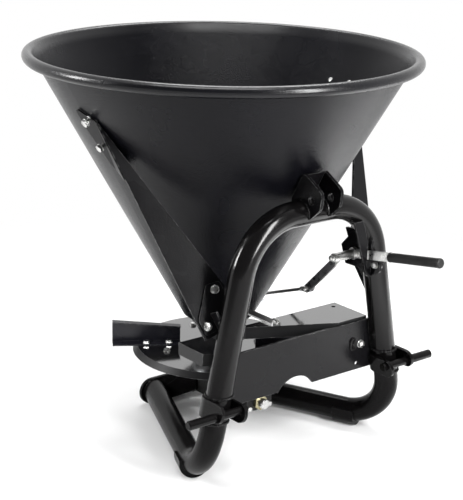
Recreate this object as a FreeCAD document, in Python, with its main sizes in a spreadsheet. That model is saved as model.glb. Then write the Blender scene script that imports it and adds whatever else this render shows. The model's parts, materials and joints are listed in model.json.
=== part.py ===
import FreeCAD, Part
import math
import os

import Sketcher
from FreeCAD import Placement, Rotation, Vector

# Cone fertilizer spreader for a tractor's three-point hitch.
# X is sideways, +Y points forward to the tractor, +Z is up.
# The origin lies on the floor, under the axis of the hopper and the spinner.

doc = FreeCAD.newDocument("ConeSpreader")

# ---------------------------------------------------------------- sizes
# Driving dimensions in millimetres and degrees, grouped by the piece they belong to.

SIZES = {
    # bent tube frame
    "tube_outside": 60.3,
    "tube_wall": 3.6,
    "hoop_forward": 337.0,
    "hoop_height": 634.0,
    "hoop_half_width": 180.0,
    "foot_half_width": 301.0,
    "hoop_bend": 152.0,
    "foot_bend": 118.0,
    "tail_back": 165.0,
    "tail_half_width": 80.0,
    # hopper
    "cone_bottom_radius": 89.5,
    "cone_bottom_height": 289.0,
    "rim_radius": 471.0,
    "rim_height": 946.0,
    "rim_roll": 13.5,
    "rim_curl": 290.0,
    "hopper_wall": 3.0,
    "pan_radius": 67.0,
    "pan_drop": 17.0,
    # outlet and shutter
    "outlet_thick": 4.0,
    "port_inner": 32.0,
    "port_outer": 56.0,
    "port_angle": 18.0,
    "collar_radius": 22.0,
    "collar_bore": 18.0,
    "collar_lip": 27.0,
    "collar_lip_thick": 3.0,
    "shutter_gap": 0.6,
    "shutter_thick": 4.0,
    "shutter_radius": 64.0,
    "shutter_arm_reach": 138.5,
    "shutter_arm_width": 30.0,
    "shutter_arm_rise": 22.0,
    "shutter_slot_wide": 15.0,
    "shutter_slot_long": 22.0,
    # spinner
    "disc_top": 203.0,
    "disc_flat_radius": 205.0,
    "disc_radius": 217.0,
    "disc_skirt": 14.0,
    "disc_thick": 3.0,
    "vane_length": 174.0,
    "vane_inner_reach": 95.0,
    "vane_lead": 21.0,
    "vane_inner_height": 45.0,
    "vane_outer_height": 60.0,
    "vane_sheet": 3.0,
    "vane_foot": 32.0,
    "vane_lip": 18.0,
    "spindle_radius": 12.5,
    "spindle_top": 336.0,
    "hub_radius": 34.0,
    "hub_drop": 22.0,
    "finger_reach": 62.0,
    "finger_radius": 4.0,
    # gearbox and drive
    "gearbox_width": 80.0,
    "gearbox_back": 60.0,
    "gearbox_front": 118.0,
    "gearbox_bottom": 68.0,
    "gearbox_top": 140.0,
    "neck_radius": 27.0,
    "neck_top": 174.0,
    "carrier_front": 160.0,
    "carrier_flange": 12.0,
    "flange_height": 46.0,
    "carrier_rise": 4.0,
    "collar_gap": 0.5,
    "collar_width": 5.0,
    "collar_step": 4.5,
    "input_height": 100.0,
    "input_radius": 12.7,
    "stub_reach": 26.0,
    "drive_fit": 0.05,
    "shaft_depth": 60.0,
    "spindle_foot": 122.0,
    "strut_thick": 8.0,
    "strut_width": 34.0,
    # rear cross plate, feet
    "cross_plate_thick": 8.0,
    "cross_plate_high": 69.0,
    "cross_plate_end": 88.0,
    "skid_side": 10.0,
    "skid_thick": 6.0,
    "skid_length": 58.0,
    # lower hitch points
    "pin_height": 210.0,
    "pin_forward": 381.0,
    "pin_radius": 11.0,
    "pin_shoulder": 309.0,
    "pin_shank_radius": 10.0,
    "pin_tip": 382.0,
    "strap_thick": 8.0,
    "strap_high": 44.0,
    # upper hitch point
    "mast_height": 460.0,
    "top_pin_forward": 372.0,
    "top_pin_bore": 19.3,
    "ear_outside": 34.0,
    "ear_thick": 8.0,
    "clevis_gap": 4.0,
    # front apron and deck
    "apron_forward": 316.0,
    "apron_thick": 6.0,
    "apron_top": 319.0,
    "apron_bottom": 192.0,
    "notch_radius": 66.0,
    "notch_height": 154.0,
    "notch_side": 12.0,
    "deck_height": 326.0,
    "deck_thick": 2.5,
    "deck_back": 197.0,
    "deck_left": 219.0,
    "deck_right": 272.0,
    "deck_flange": 30.0,
    "tongue_thick": 4.0,
    "tongue_width": 24.0,
    "tongue_side": 8.0,
    "tongue_lap": 37.0,
    # support arms
    "arm_thick": 5.0,
    "arm_top_height": 836.0,
    "arm_top_forward": 46.0,
    "arm_low_side": 263.0,
    "arm_low_forward": 310.0,
    "arm_low_height": 330.0,
    "arm_heel_side": 203.0,
    "arm_heel_forward": 264.0,
    "arm_heel_height": 481.0,
    "arm_length": 552.0,
    "heel_setback": 102.8,
    "heel_width": 98.4,
    "arm_gap": 0.3,
    "tab_bearing": 2.5,
    "stem_width": 50.0,
    "bolt_hole": 11.0,
    # feed control
    "lever_forward": 315.0,
    "lever_height": 497.0,
    "lever_shaft_radius": 7.0,
    "lever_hub_radius": 10.5,
    "lever_hub_length": 66.0,
    "lever_boss_radius": 15.0,
    "lever_boss_length": 8.0,
    "lever_bar_thick": 6.0,
    "lever_bar_high": 22.0,
    "lever_rise": 9.8,
    "lever_grip_start": 122.0,
    "lever_grip_length": 164.0,
    "lever_grip_radius": 11.5,
    "crank_back": 113.0,
    "crank_drop": 113.0,
    "crank_inset": 14.0,
    "crank_half_width": 10.0,
    "rod_radius": 4.0,
    "rod_eye_width": 9.0,
    "rod_end_side": 138.0,
    "rod_end_forward": -12.0,
    "rod_end_height": 304.0,
    "bracket_seat": 1.58,
    "bracket_thick": 6.0,
    "bracket_spacer_width": 30.0,
    "bracket_spacer_high": 60.0,
    "gate_front": 368.0,
    "gate_thick": 5.0,
    "gate_bar_gap": 5.0,
    "gate_strap_width": 28.0,
    "side_gap": 2.0,
    "stop_radius": 5.0,
}

sheet = doc.addObject("Spreadsheet::Sheet", "Sizes")
for row, (alias, value) in enumerate(SIZES.items(), start=1):
    sheet.set(f"A{row}", alias)
    sheet.set(f"B{row}", str(value))
    sheet.setAlias(f"B{row}", alias)
doc.recompute()


def size(alias):
    """Read one driving dimension back from the sheet."""
    return float(sheet.get(alias))


# ---------------------------------------------------------------- drawing helpers

def length_of(*offset):
    """Length of a vector given by its components."""
    return math.sqrt(sum(part * part for part in offset))


def turned(radius, degrees, centre=(0.0, 0.0)):
    """Point at a radius and an angle round a centre."""
    angle = math.radians(degrees)
    return (centre[0] + radius * math.cos(angle), centre[1] + radius * math.sin(angle))


def rounded_outline(corners):
    """Edges of a closed outline whose corners are (x, y) or (x, y, fillet radius)."""
    count = len(corners)
    rounded = []
    for index in range(count):
        here = Vector(corners[index][0], corners[index][1], 0)
        before = Vector(*corners[index - 1][:2], 0)
        after = Vector(*corners[(index + 1) % count][:2], 0)
        radius = corners[index][2] if len(corners[index]) > 2 else 0
        if radius <= 0:
            rounded.append((here, None, here))
            continue
        inward = (before - here).normalize()
        onward = (after - here).normalize()
        half = inward.getAngle(onward) / 2
        reach = radius / math.tan(half)
        middle = here + (inward + onward).normalize() * (radius / math.sin(half) - radius)
        rounded.append((here + inward * reach, middle, here + onward * reach))
    edges = []
    for index in range(count):
        start, middle, end = rounded[index]
        if middle is not None:
            edges.append(Part.Arc(start, middle, end))
        following = rounded[(index + 1) % count][0]
        if (following - end).Length > 1e-6:
            edges.append(Part.LineSegment(end, following))
    return edges


def inset(corners, distances):
    """Corners of an outline moved inwards, with one distance for each edge that leaves a corner."""
    area = sum(a[0] * b[1] - b[0] * a[1] for a, b in zip(corners, corners[1:] + corners[:1]))
    side = 1 if area > 0 else -1
    lines = []
    for index, corner in enumerate(corners):
        after = corners[(index + 1) % len(corners)]
        along = (after[0] - corner[0], after[1] - corner[1])
        span = length_of(*along)
        normal = (-side * along[1] / span, side * along[0] / span)
        shift = distances[index]
        point = (corner[0] + normal[0] * shift, corner[1] + normal[1] * shift)
        lines.append((point, along))
    moved = []
    for index in range(len(corners)):
        (px, py), (ax, ay) = lines[index - 1]
        (qx, qy), (bx, by) = lines[index]
        share = ((qx - px) * by - (qy - py) * bx) / (ax * by - ay * bx)
        moved.append((px + ax * share, py + ay * share))
    return moved


def new_body(label):
    """Body with a label of its own."""
    body = doc.addObject("PartDesign::Body", label)
    body.Label = label
    return body


def new_sketch(body, plane, edges, name, offset="0"):
    """Sketch of ready-made edges on one of the body's own planes, moved along its normal."""
    sketch = body.newObject("Sketcher::SketchObject", name)
    support = next(item for item in body.Origin.OriginFeatures if item.Role == plane)
    sketch.AttachmentSupport = (support, [""])
    sketch.MapMode = "FlatFace"
    sketch.setExpression("AttachmentOffset.Base.z", offset)
    for edge in edges:
        sketch.addGeometry(edge, False)
    return sketch


def circle(radius, centre=(0.0, 0.0)):
    """Full circle as a sketch edge."""
    return Part.Circle(Vector(centre[0], centre[1], 0), Vector(0, 0, 1), radius)


def bind_circle(sketch, index, formula):
    """Tie a circle's radius to the sheet and pin its centre where it was drawn."""
    place = sketch.Geometry[index].Center
    sketch.addConstraint(Sketcher.Constraint("DistanceX", index, 3, place.x))
    sketch.addConstraint(Sketcher.Constraint("DistanceY", index, 3, place.y))
    number = sketch.addConstraint(Sketcher.Constraint("Radius", index, sketch.Geometry[index].Radius))
    sketch.setExpression(f"Constraints[{number}]", formula)


def pad(body, sketch, depth, name):
    """Pad a sketch along its normal by a formula."""
    feature = body.newObject("PartDesign::Pad", name)
    feature.Profile = sketch
    feature.setExpression("Length", depth)
    sketch.Visibility = False
    doc.recompute()
    return feature


def pocket(body, sketch, depth, name, both=False, reverse=False):
    """Cut a sketch out of the body and make sure that the cut removed something."""
    before = body.Shape.Volume
    feature = body.newObject("PartDesign::Pocket", name)
    feature.Profile = sketch
    feature.setExpression("Length", depth)
    feature.Midplane = both
    feature.Reversed = reverse
    doc.recompute()
    if body.Shape.Volume >= before - 1e-6:
        raise RuntimeError(f"{name} of {body.Label} cuts nothing")
    return feature


def turn(body, sketch, name, axis="Z_Axis", sweep="360"):
    """Revolve a sketch round one of the body's own axes."""
    feature = body.newObject("PartDesign::Revolution", name)
    feature.Profile = sketch
    support = next(item for item in body.Origin.OriginFeatures if item.Role == axis)
    feature.ReferenceAxis = (support, [""])
    feature.setExpression("Angle", sweep)
    doc.recompute()
    return feature


def around(body, feature, count, name):
    """Repeat a feature evenly round the body's Z axis."""
    pattern = body.newObject("PartDesign::PolarPattern", name)
    pattern.Originals = [feature]
    support = next(item for item in body.Origin.OriginFeatures if item.Role == "Z_Axis")
    pattern.Axis = (support, [""])
    pattern.Angle = 360
    pattern.Occurrences = count
    body.Tip = pattern
    doc.recompute()
    return pattern


def cylinder(label, radius, length, place, turned_to=Rotation()):
    """Cylinder primitive bound to formulas, with its foot at a place."""
    solid = doc.addObject("Part::Cylinder", label)
    solid.Label = label
    solid.setExpression("Radius", radius)
    solid.setExpression("Height", length)
    solid.Placement = Placement(Vector(*place), turned_to)
    return solid


def box(label, sizes, place):
    """Box primitive bound to three formulas."""
    solid = doc.addObject("Part::Box", label)
    solid.Label = label
    for side, formula in zip(("Length", "Width", "Height"), sizes):
        solid.setExpression(side, formula)
    solid.Placement = place if isinstance(place, Placement) else Placement(Vector(*place), Rotation())
    return solid


def cut(label, base, tool):
    """One solid less another."""
    result = doc.addObject("Part::Cut", label)
    result.Label = label
    result.Base = base
    result.Tool = tool
    doc.recompute()
    return result


def fuse(label, *solids):
    """Several solids joined into one."""
    result = doc.addObject("Part::MultiFuse", label)
    result.Label = label
    result.Shapes = list(solids)
    result.Refine = True
    doc.recompute()
    return result


def mirrored(label, source):
    """The same piece on the other side of the machine."""
    result = doc.addObject("Part::Mirroring", label)
    result.Label = label
    result.Source = source
    result.Normal = Vector(1, 0, 0)
    result.Base = Vector(0, 0, 0)
    doc.recompute()
    return result


ALONG_X = Rotation(Vector(0, 1, 0), 90)
ALONG_Y = Rotation(Vector(1, 0, 0), -90)

parts = []


def keep(solid):
    """Add a finished sub-part to what is exported under its label."""
    parts.append(solid)
    return solid


# ---------------------------------------------------------------- bent tube frame
# One pipe: two level runs on the floor that close towards the rear, two splayed legs and a top bar.

tube_radius = size("tube_outside") / 2
hoop_forward = size("hoop_forward")
tube_level = tube_radius + size("skid_thick")
leg_slope = (size("foot_half_width") - size("hoop_half_width")) / (size("hoop_height") - tube_level)
leg_splay = math.degrees(math.atan(leg_slope))
run_back = hoop_forward + size("tail_back")
run_in = size("foot_half_width") - size("tail_half_width")
run_angle = math.degrees(math.atan2(run_back, run_in))


def leg_side(height):
    """Distance of a leg's axis from the middle of the machine."""
    return size("foot_half_width") - (height - tube_level) * leg_slope


def tangent_path(points, radii):
    """Wire of straight runs through 3-D points, joined by tangent arcs at the inner points."""
    edges = []
    start = points[0]
    for before, corner, after, radius in zip(points, points[1:], points[2:], radii):
        inward = (before - corner).normalize()
        onward = (after - corner).normalize()
        half = inward.getAngle(onward) / 2
        reach = radius / math.tan(half)
        middle = corner + (inward + onward).normalize() * (radius / math.sin(half) - radius)
        edges.append(Part.LineSegment(start, corner + inward * reach).toShape())
        edges.append(Part.Arc(corner + inward * reach, middle, corner + onward * reach).toShape())
        start = corner + onward * reach
    edges.append(Part.LineSegment(start, points[-1]).toShape())
    return Part.Wire(edges)


def swept_tube(label, path, radius, start, heading):
    """Round section swept along a path, with the radius bound to the sheet."""
    section = doc.addObject("Part::Circle", label + "_section")
    section.setExpression("Radius", radius)
    section.Placement = Placement(start, Rotation(Vector(0, 0, 1), heading))
    solid = doc.addObject("Part::Sweep", label)
    solid.Label = label
    solid.Sections = [section]
    solid.Spine = (path, [f"Edge{number + 1}" for number in range(len(path.Shape.Edges))])
    solid.Solid = True
    solid.Frenet = False
    doc.recompute()
    return solid


def pipe_side(height):
    """Distance of the pipe's axis from the middle at a height of the leg or of the bend above it."""
    turn_angle = math.radians(90 - leg_splay)
    bend_reach = size("hoop_bend") * math.tan(turn_angle / 2)
    centre_side = size("hoop_half_width") - bend_reach
    centre_height = size("hoop_height") - size("hoop_bend")
    if height <= size("hoop_height") - bend_reach * math.cos(math.radians(leg_splay)):
        return leg_side(height)
    return centre_side + math.sqrt(size("hoop_bend") ** 2 - (height - centre_height) ** 2)


# The runs start a little behind the rear cross plate and are trimmed to its face.
trim_reach = 12.0
tail_x = size("tail_half_width") - trim_reach * run_in / run_back
tail_y = -size("tail_back") - trim_reach
foot = Vector(size("foot_half_width"), hoop_forward, tube_level)
shoulder = Vector(size("hoop_half_width"), hoop_forward, size("hoop_height"))
hoop_points = [
    Vector(tail_x, tail_y, tube_level),
    foot,
    shoulder,
    Vector(-shoulder.x, shoulder.y, shoulder.z),
    Vector(-foot.x, foot.y, foot.z),
    Vector(-tail_x, tail_y, tube_level),
]
hoop_bends = [size("foot_bend"), size("hoop_bend"), size("hoop_bend"), size("foot_bend")]
hoop_path = doc.addObject("Part::Feature", "hoop_path")
hoop_path.Shape = tangent_path(hoop_points, hoop_bends)
hoop_heading = hoop_points[1] - hoop_points[0]
tube_envelope = swept_tube("tube_envelope", hoop_path, "Sizes.tube_outside / 2", hoop_points[0], hoop_heading)
tube_hollow = swept_tube(
    "tube_hollow", hoop_path, "Sizes.tube_outside / 2 - Sizes.tube_wall", hoop_points[0], hoop_heading
)
tail_trim = box(
    "tail_trim",
    ["Sizes.tail_half_width * 4", "60", "Sizes.tube_outside * 3"],
    (-2 * size("tail_half_width"), -size("tail_back") - 60, -size("tube_outside")),
)
frame_hoop = keep(cut("frame_hoop", cut("open_tube", tube_envelope, tube_hollow), tail_trim))

# Upright plate that closes and joins the two rear ends.
rear_cross_plate = new_body("rear_cross_plate")
plate_radius = size("cross_plate_high") / 2
plate_end = size("cross_plate_end")
plate_high = 2 * plate_radius
stadium = [
    Part.LineSegment(Vector(-plate_end, 0, 0), Vector(plate_end, 0, 0)),
    Part.Arc(
        Vector(plate_end, 0, 0),
        Vector(plate_end + plate_radius, plate_radius, 0),
        Vector(plate_end, plate_high, 0),
    ),
    Part.LineSegment(Vector(plate_end, plate_high, 0), Vector(-plate_end, plate_high, 0)),
    Part.Arc(
        Vector(-plate_end, plate_high, 0),
        Vector(-plate_end - plate_radius, plate_radius, 0),
        Vector(-plate_end, 0, 0),
    ),
]
stadium_sketch = new_sketch(rear_cross_plate, "XZ_Plane", stadium, "stadium", "Sizes.tail_back")
pad(rear_cross_plate, stadium_sketch, "Sizes.cross_plate_thick", "plate")
keep(rear_cross_plate)

# Skid under each front bend: a shallow channel that the pipe lies in.
skid_blank = new_body("skid_blank")
skid_outer = tube_radius + size("skid_thick")
skid_side = size("skid_side")
skid_section = [
    Part.LineSegment(Vector(-skid_outer, 0, 0), Vector(-skid_outer, skid_side, 0)),
    Part.LineSegment(Vector(-skid_outer, skid_side, 0), Vector(skid_outer, skid_side, 0)),
    Part.LineSegment(Vector(skid_outer, skid_side, 0), Vector(skid_outer, 0, 0)),
    Part.Arc(Vector(skid_outer, 0, 0), Vector(0, -skid_outer, 0), Vector(-skid_outer, 0, 0)),
]
skid_sketch = new_sketch(skid_blank, "YZ_Plane", skid_section, "channel")
pad(skid_blank, skid_sketch, "Sizes.skid_length", "channel_length")
run_heading = Vector(run_in, run_back, 0).normalize()
bend_angle = math.degrees((hoop_points[1] - hoop_points[0]).getAngle(hoop_points[2] - hoop_points[1]))
bend_reach = size("foot_bend") * math.tan(math.radians(bend_angle / 2))
skid_start = foot - run_heading * (bend_reach + size("skid_length") * 0.35)
skid_blank.Placement = Placement(skid_start, Rotation(Vector(0, 0, 1), run_angle))
skid_right = keep(cut("skid_foot_right", skid_blank, tube_envelope))
keep(mirrored("skid_foot_left", skid_right))

# The line of the hopper's wall, which the upper hitch point and the arms follow too.
wall = size("hopper_wall")
rim_radius = size("rim_radius")
rim_height = size("rim_height")
roll = size("rim_roll")
cone_foot = size("cone_bottom_radius")
neck_height = size("cone_bottom_height")
to_bead = math.atan2(rim_height - neck_height, rim_radius - cone_foot)
bead_span = length_of(rim_radius - cone_foot, rim_height - neck_height)
wall_angle = to_bead + math.asin((roll - wall) / bead_span)
half_angle = math.pi / 2 - wall_angle
outward = (math.sin(wall_angle), -math.cos(wall_angle))


def cone_radius(height):
    """Outer radius of the cone's wall at a height."""
    return cone_foot + (height - neck_height) * math.tan(half_angle)

# ---------------------------------------------------------------- hitch points
# Lower pins: a strap bent round each leg, and a pin through both its sides.
pin_height = size("pin_height")
pin_forward = size("pin_forward")
pin_leg_side = leg_side(pin_height)
strap_outer = tube_radius + size("strap_thick")
strap_reach = pin_forward - hoop_forward + size("pin_radius") * 2
strap_blank = new_body("strap_blank")
strap_profile = [
    Part.LineSegment(Vector(-strap_outer, strap_reach, 0), Vector(-strap_outer, 0, 0)),
    Part.Arc(Vector(-strap_outer, 0, 0), Vector(0, -strap_outer, 0), Vector(strap_outer, 0, 0)),
    Part.LineSegment(Vector(strap_outer, 0, 0), Vector(strap_outer, strap_reach, 0)),
    Part.LineSegment(Vector(strap_outer, strap_reach, 0), Vector(tube_radius, strap_reach, 0)),
    Part.LineSegment(Vector(tube_radius, strap_reach, 0), Vector(tube_radius, 0, 0)),
    Part.Arc(Vector(tube_radius, 0, 0), Vector(0, -tube_radius, 0), Vector(-tube_radius, 0, 0)),
    Part.LineSegment(Vector(-tube_radius, 0, 0), Vector(-tube_radius, strap_reach, 0)),
    Part.LineSegment(Vector(-tube_radius, strap_reach, 0), Vector(-strap_outer, strap_reach, 0)),
]
strap_sketch = new_sketch(strap_blank, "XY_Plane", strap_profile, "strap_bend", "-Sizes.strap_high / 2")
pad(strap_blank, strap_sketch, "Sizes.strap_high", "strap_height")
strap_half = size("strap_high") / 2
nose = [
    (strap_reach - strap_half, strap_half + 1),
    (strap_reach + 1, strap_half + 1),
    (strap_reach + 1, -strap_half - 1),
    (strap_reach - strap_half, -strap_half - 1),
]
nose_edges = [
    Part.LineSegment(Vector(*nose[0], 0), Vector(*nose[1], 0)),
    Part.LineSegment(Vector(*nose[1], 0), Vector(*nose[2], 0)),
    Part.LineSegment(Vector(*nose[2], 0), Vector(*nose[3], 0)),
    Part.LineSegment(Vector(*nose[3], 0), Vector(strap_reach - strap_half, -strap_half, 0)),
    Part.Arc(
        Vector(strap_reach - strap_half, -strap_half, 0),
        Vector(strap_reach, 0, 0),
        Vector(strap_reach - strap_half, strap_half, 0),
    ),
    Part.LineSegment(Vector(strap_reach - strap_half, strap_half, 0), Vector(*nose[0], 0)),
]
nose_sketch = new_sketch(strap_blank, "YZ_Plane", nose_edges, "rounded_nose")
pocket(strap_blank, nose_sketch, "Sizes.tube_outside * 2", "nose_cut", both=True)
strap_blank.Placement = Placement(
    Vector(pin_leg_side, hoop_forward, pin_height), Rotation(Vector(0, 1, 0), -leg_splay)
)

# Each pin has a thinner shank welded through the strap and a free end of the full diameter.
pin_inside = pin_leg_side - strap_outer - size("pin_radius")
lower_pin = new_body("lower_pin_right")
pin_profile = [
    (pin_inside, 0),
    (size("pin_tip"), 0),
    (size("pin_tip"), size("pin_radius") - 3),
    (size("pin_tip") - 3, size("pin_radius")),
    (size("pin_shoulder"), size("pin_radius")),
    (size("pin_shoulder"), size("pin_shank_radius")),
    (pin_inside, size("pin_shank_radius")),
]
pin_sketch = new_sketch(lower_pin, "XY_Plane", rounded_outline(pin_profile), "pin_profile")
turn(lower_pin, pin_sketch, "pin", "X_Axis")
lower_pin.Placement = Placement(Vector(0, pin_forward, pin_height), Rotation())
strap_right = keep(cut("hitch_strap_right", cut("strap_seated", strap_blank, tube_envelope), lower_pin))
keep(mirrored("hitch_strap_left", strap_right))
keep(lower_pin)
keep(mirrored("lower_pin_left", lower_pin))

# Upper hitch point: two ears joined by a back plate that lies along their slanted rear edge.
top_pin_height = pin_height + size("mast_height")
top_pin_forward = size("top_pin_forward")
clevis_blank = new_body("clevis_blank")
clevis_stand_off = size("clevis_gap") / math.cos(half_angle)
ear_low = top_pin_height - 10
ear_high = top_pin_height + 61
ear_outline = [
    (cone_radius(ear_low) + clevis_stand_off, ear_low, 0),
    (cone_radius(ear_high) + clevis_stand_off, ear_high, 12),
    (top_pin_forward + 36, top_pin_height + 24, 18),
    (top_pin_forward + 30, top_pin_height - 16, 12),
    (top_pin_forward - 4, top_pin_height - 46, 0),
    (hoop_forward, size("hoop_height"), 0),
    (hoop_forward - 20, size("hoop_height"), 0),
]
ear_sketch = new_sketch(clevis_blank, "YZ_Plane", rounded_outline(ear_outline), "ear", "-Sizes.ear_outside")
pad(clevis_blank, ear_sketch, "Sizes.ear_outside * 2", "ear_block")
rear_low = ear_outline[0][:2]
rear_top = ear_outline[1][:2]
rear_span = length_of(rear_top[0] - rear_low[0], rear_top[1] - rear_low[1])
rear_across = (
    (rear_top[1] - rear_low[1]) / rear_span * size("ear_thick"),
    -(rear_top[0] - rear_low[0]) / rear_span * size("ear_thick"),
)
rear_along = ((rear_top[0] - rear_low[0]) / rear_span, (rear_top[1] - rear_low[1]) / rear_span)
gap_low = (rear_low[0] + rear_across[0] - 90 * rear_along[0], rear_low[1] + rear_across[1] - 90 * rear_along[1])
gap_top = (rear_top[0] + rear_across[0] + 40 * rear_along[0], rear_top[1] + rear_across[1] + 40 * rear_along[1])
gap_outline = [gap_low, gap_top, (gap_top[0] + 160, gap_top[1]), (gap_top[0] + 160, gap_low[1])]
gap_sketch = new_sketch(
    clevis_blank, "YZ_Plane", rounded_outline(gap_outline), "gap", "Sizes.ear_thick - Sizes.ear_outside"
)
pocket(clevis_blank, gap_sketch, "2 * (Sizes.ear_outside - Sizes.ear_thick)", "ear_gap", reverse=True)
bore_sketch = new_sketch(
    clevis_blank,
    "YZ_Plane",
    [circle(size("top_pin_bore") / 2, (top_pin_forward, top_pin_height))],
    "top_pin_hole",
)
bind_circle(bore_sketch, 0, "Sizes.top_pin_bore / 2")
pocket(clevis_blank, bore_sketch, "Sizes.ear_outside * 4", "top_pin_bore", both=True)
keep(cut("top_link_clevis", clevis_blank, tube_envelope))

# ---------------------------------------------------------------- apron and deck
# Apron: an upright plate between the legs, with a round notch over the drive.
apron_rear = size("apron_forward") - size("apron_thick") / 2
apron_top = size("apron_top")
apron_bottom = size("apron_bottom")
notch_radius = size("notch_radius")
notch_side = size("notch_side")
notch_drop = apron_bottom - size("notch_height")
notch_half = math.sqrt(notch_radius ** 2 - notch_drop ** 2)
apron_blank = new_body("apron_blank")
apron_edges = [
    Part.LineSegment(Vector(leg_side(apron_top), apron_top, 0), Vector(-leg_side(apron_top), apron_top, 0)),
    Part.LineSegment(Vector(-leg_side(apron_top), apron_top, 0), Vector(-leg_side(apron_bottom), apron_bottom, 0)),
    Part.LineSegment(
        Vector(-leg_side(apron_bottom), apron_bottom, 0), Vector(notch_side - notch_half, apron_bottom, 0)
    ),
    Part.Arc(
        Vector(notch_side - notch_half, apron_bottom, 0),
        Vector(notch_side, size("notch_height") + notch_radius, 0),
        Vector(notch_side + notch_half, apron_bottom, 0),
    ),
    Part.LineSegment(
        Vector(notch_side + notch_half, apron_bottom, 0), Vector(leg_side(apron_bottom), apron_bottom, 0)
    ),
    Part.LineSegment(Vector(leg_side(apron_bottom), apron_bottom, 0), Vector(leg_side(apron_top), apron_top, 0)),
]
apron_sketch = new_sketch(
    apron_blank, "XZ_Plane", apron_edges, "apron_outline", "-Sizes.apron_forward - Sizes.apron_thick / 2"
)
pad(apron_blank, apron_sketch, "Sizes.apron_thick", "apron_plate")
apron_holes = new_sketch(
    apron_blank,
    "XZ_Plane",
    [circle(size("bolt_hole") / 2, (-188, apron_bottom + 16)), circle(size("bolt_hole") / 2, (-197, 258))],
    "spare_holes",
)
bind_circle(apron_holes, 0, "Sizes.bolt_hole / 2")
bind_circle(apron_holes, 1, "Sizes.bolt_hole / 2")
pocket(apron_blank, apron_holes, "Sizes.apron_forward * 3", "spare_hole_cuts", both=True)
straps = fuse("straps", strap_blank, mirrored("strap_blank_left", strap_blank))
keep(cut("apron", cut("apron_between_legs", apron_blank, tube_envelope), straps))

# Deck: a folded sheet tray over the disc, open in a triangle towards the right leg.
deck_height = size("deck_height")
deck_back = size("deck_back")
deck_left = size("deck_left")
deck_right = size("deck_right")
opening_start = (-125.0, apron_rear)
opening_corner = (81.0, deck_back + 12)
opening_right = leg_side(deck_height) - tube_radius - 12
deck_corners = [
    (-deck_left, deck_back),
    (deck_right, deck_back),
    (deck_right, apron_rear - 24),
    (opening_right + 26, apron_rear),
    (opening_right, apron_rear),
    (opening_right - 12, deck_back + 12),
    opening_corner,
    opening_start,
    (-deck_left, apron_rear),
]
deck_walls = [size("deck_thick")] * len(deck_corners)
deck_blank = new_body("deck_blank")
deck_sketch = new_sketch(
    deck_blank, "XY_Plane", rounded_outline(deck_corners), "deck_outline", "Sizes.deck_height - Sizes.deck_flange"
)
pad(deck_blank, deck_sketch, "Sizes.deck_flange", "deck_block")
deck_inner = inset(deck_corners, deck_walls)
deck_inner_sketch = new_sketch(
    deck_blank, "XY_Plane", rounded_outline(deck_inner), "under_side", "Sizes.deck_height - Sizes.deck_thick"
)
pocket(deck_blank, deck_inner_sketch, "Sizes.deck_flange", "folded_edges")
deck_hole = new_sketch(
    deck_blank, "XY_Plane", [circle(size("bolt_hole") / 2, (24 - deck_left, deck_back + 22))], "deck_hole"
)
bind_circle(deck_hole, 0, "Sizes.bolt_hole / 2")
pocket(deck_blank, deck_hole, "Sizes.deck_height * 3", "deck_hole_cut", both=True)
keep(cut("spray_deck", deck_blank, tube_envelope))

# ---------------------------------------------------------------- hopper
# Cone of sheet steel whose rim is rolled outwards into a bead, with a short pan at the bottom.
pan_radius = size("pan_radius")
pan_level = neck_height - size("pan_drop")
pan_span = length_of(cone_foot - pan_radius, size("pan_drop"))
pan_slope = math.atan2(size("pan_drop"), cone_foot - pan_radius)
pan_inner = pan_radius - wall / math.sin(pan_slope)
# The inner corner lies on the bisector of the two walls, one sheet thickness in from both.
fold = (wall_angle - pan_slope) / 2
inner_reach = wall / math.cos(fold)
inner_angle = (wall_angle + pan_slope) / 2 + math.pi / 2
inner_corner = (
    cone_foot + inner_reach * math.cos(inner_angle),
    neck_height + inner_reach * math.sin(inner_angle),
)
bead = (rim_radius, rim_height)
inward_angle = 180 - math.degrees(half_angle)
curl_end = inward_angle - size("rim_curl")
curl_middle = inward_angle - size("rim_curl") / 2
outer_tangent = turned(roll, inward_angle, bead)
inner_tangent = turned(roll - wall, inward_angle, bead)


def flat(point):
    """A 2-D point as a vector of the sketch plane."""
    return Vector(point[0], point[1], 0)


hopper_edges = [
    Part.LineSegment(flat((pan_radius, pan_level)), flat((cone_foot, neck_height))),
    Part.LineSegment(flat((cone_foot, neck_height)), flat(inner_tangent)),
    Part.Arc(
        flat(inner_tangent), flat(turned(roll - wall, curl_middle, bead)), flat(turned(roll - wall, curl_end, bead))
    ),
    Part.LineSegment(flat(turned(roll - wall, curl_end, bead)), flat(turned(roll, curl_end, bead))),
    Part.Arc(flat(turned(roll, curl_end, bead)), flat(turned(roll, curl_middle, bead)), flat(outer_tangent)),
    Part.LineSegment(flat(outer_tangent), flat(inner_corner)),
    Part.LineSegment(flat(inner_corner), flat((pan_inner, pan_level))),
    Part.LineSegment(flat((pan_inner, pan_level)), flat((pan_radius, pan_level))),
]
hopper = new_body("hopper")
hopper_sketch = new_sketch(hopper, "XZ_Plane", hopper_edges, "wall_and_rim")
turn(hopper, hopper_sketch, "spun_cone")
keep(hopper)

# Solid cone of the hopper's outer surface, for trimming what lies against it.
cone_envelope = doc.addObject("Part::Cone", "cone_envelope")
cone_envelope.Radius1 = cone_foot
cone_envelope.Radius2 = cone_radius(rim_height)
cone_envelope.Height = rim_height - neck_height
cone_envelope.Placement = Placement(Vector(0, 0, neck_height), Rotation())

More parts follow.
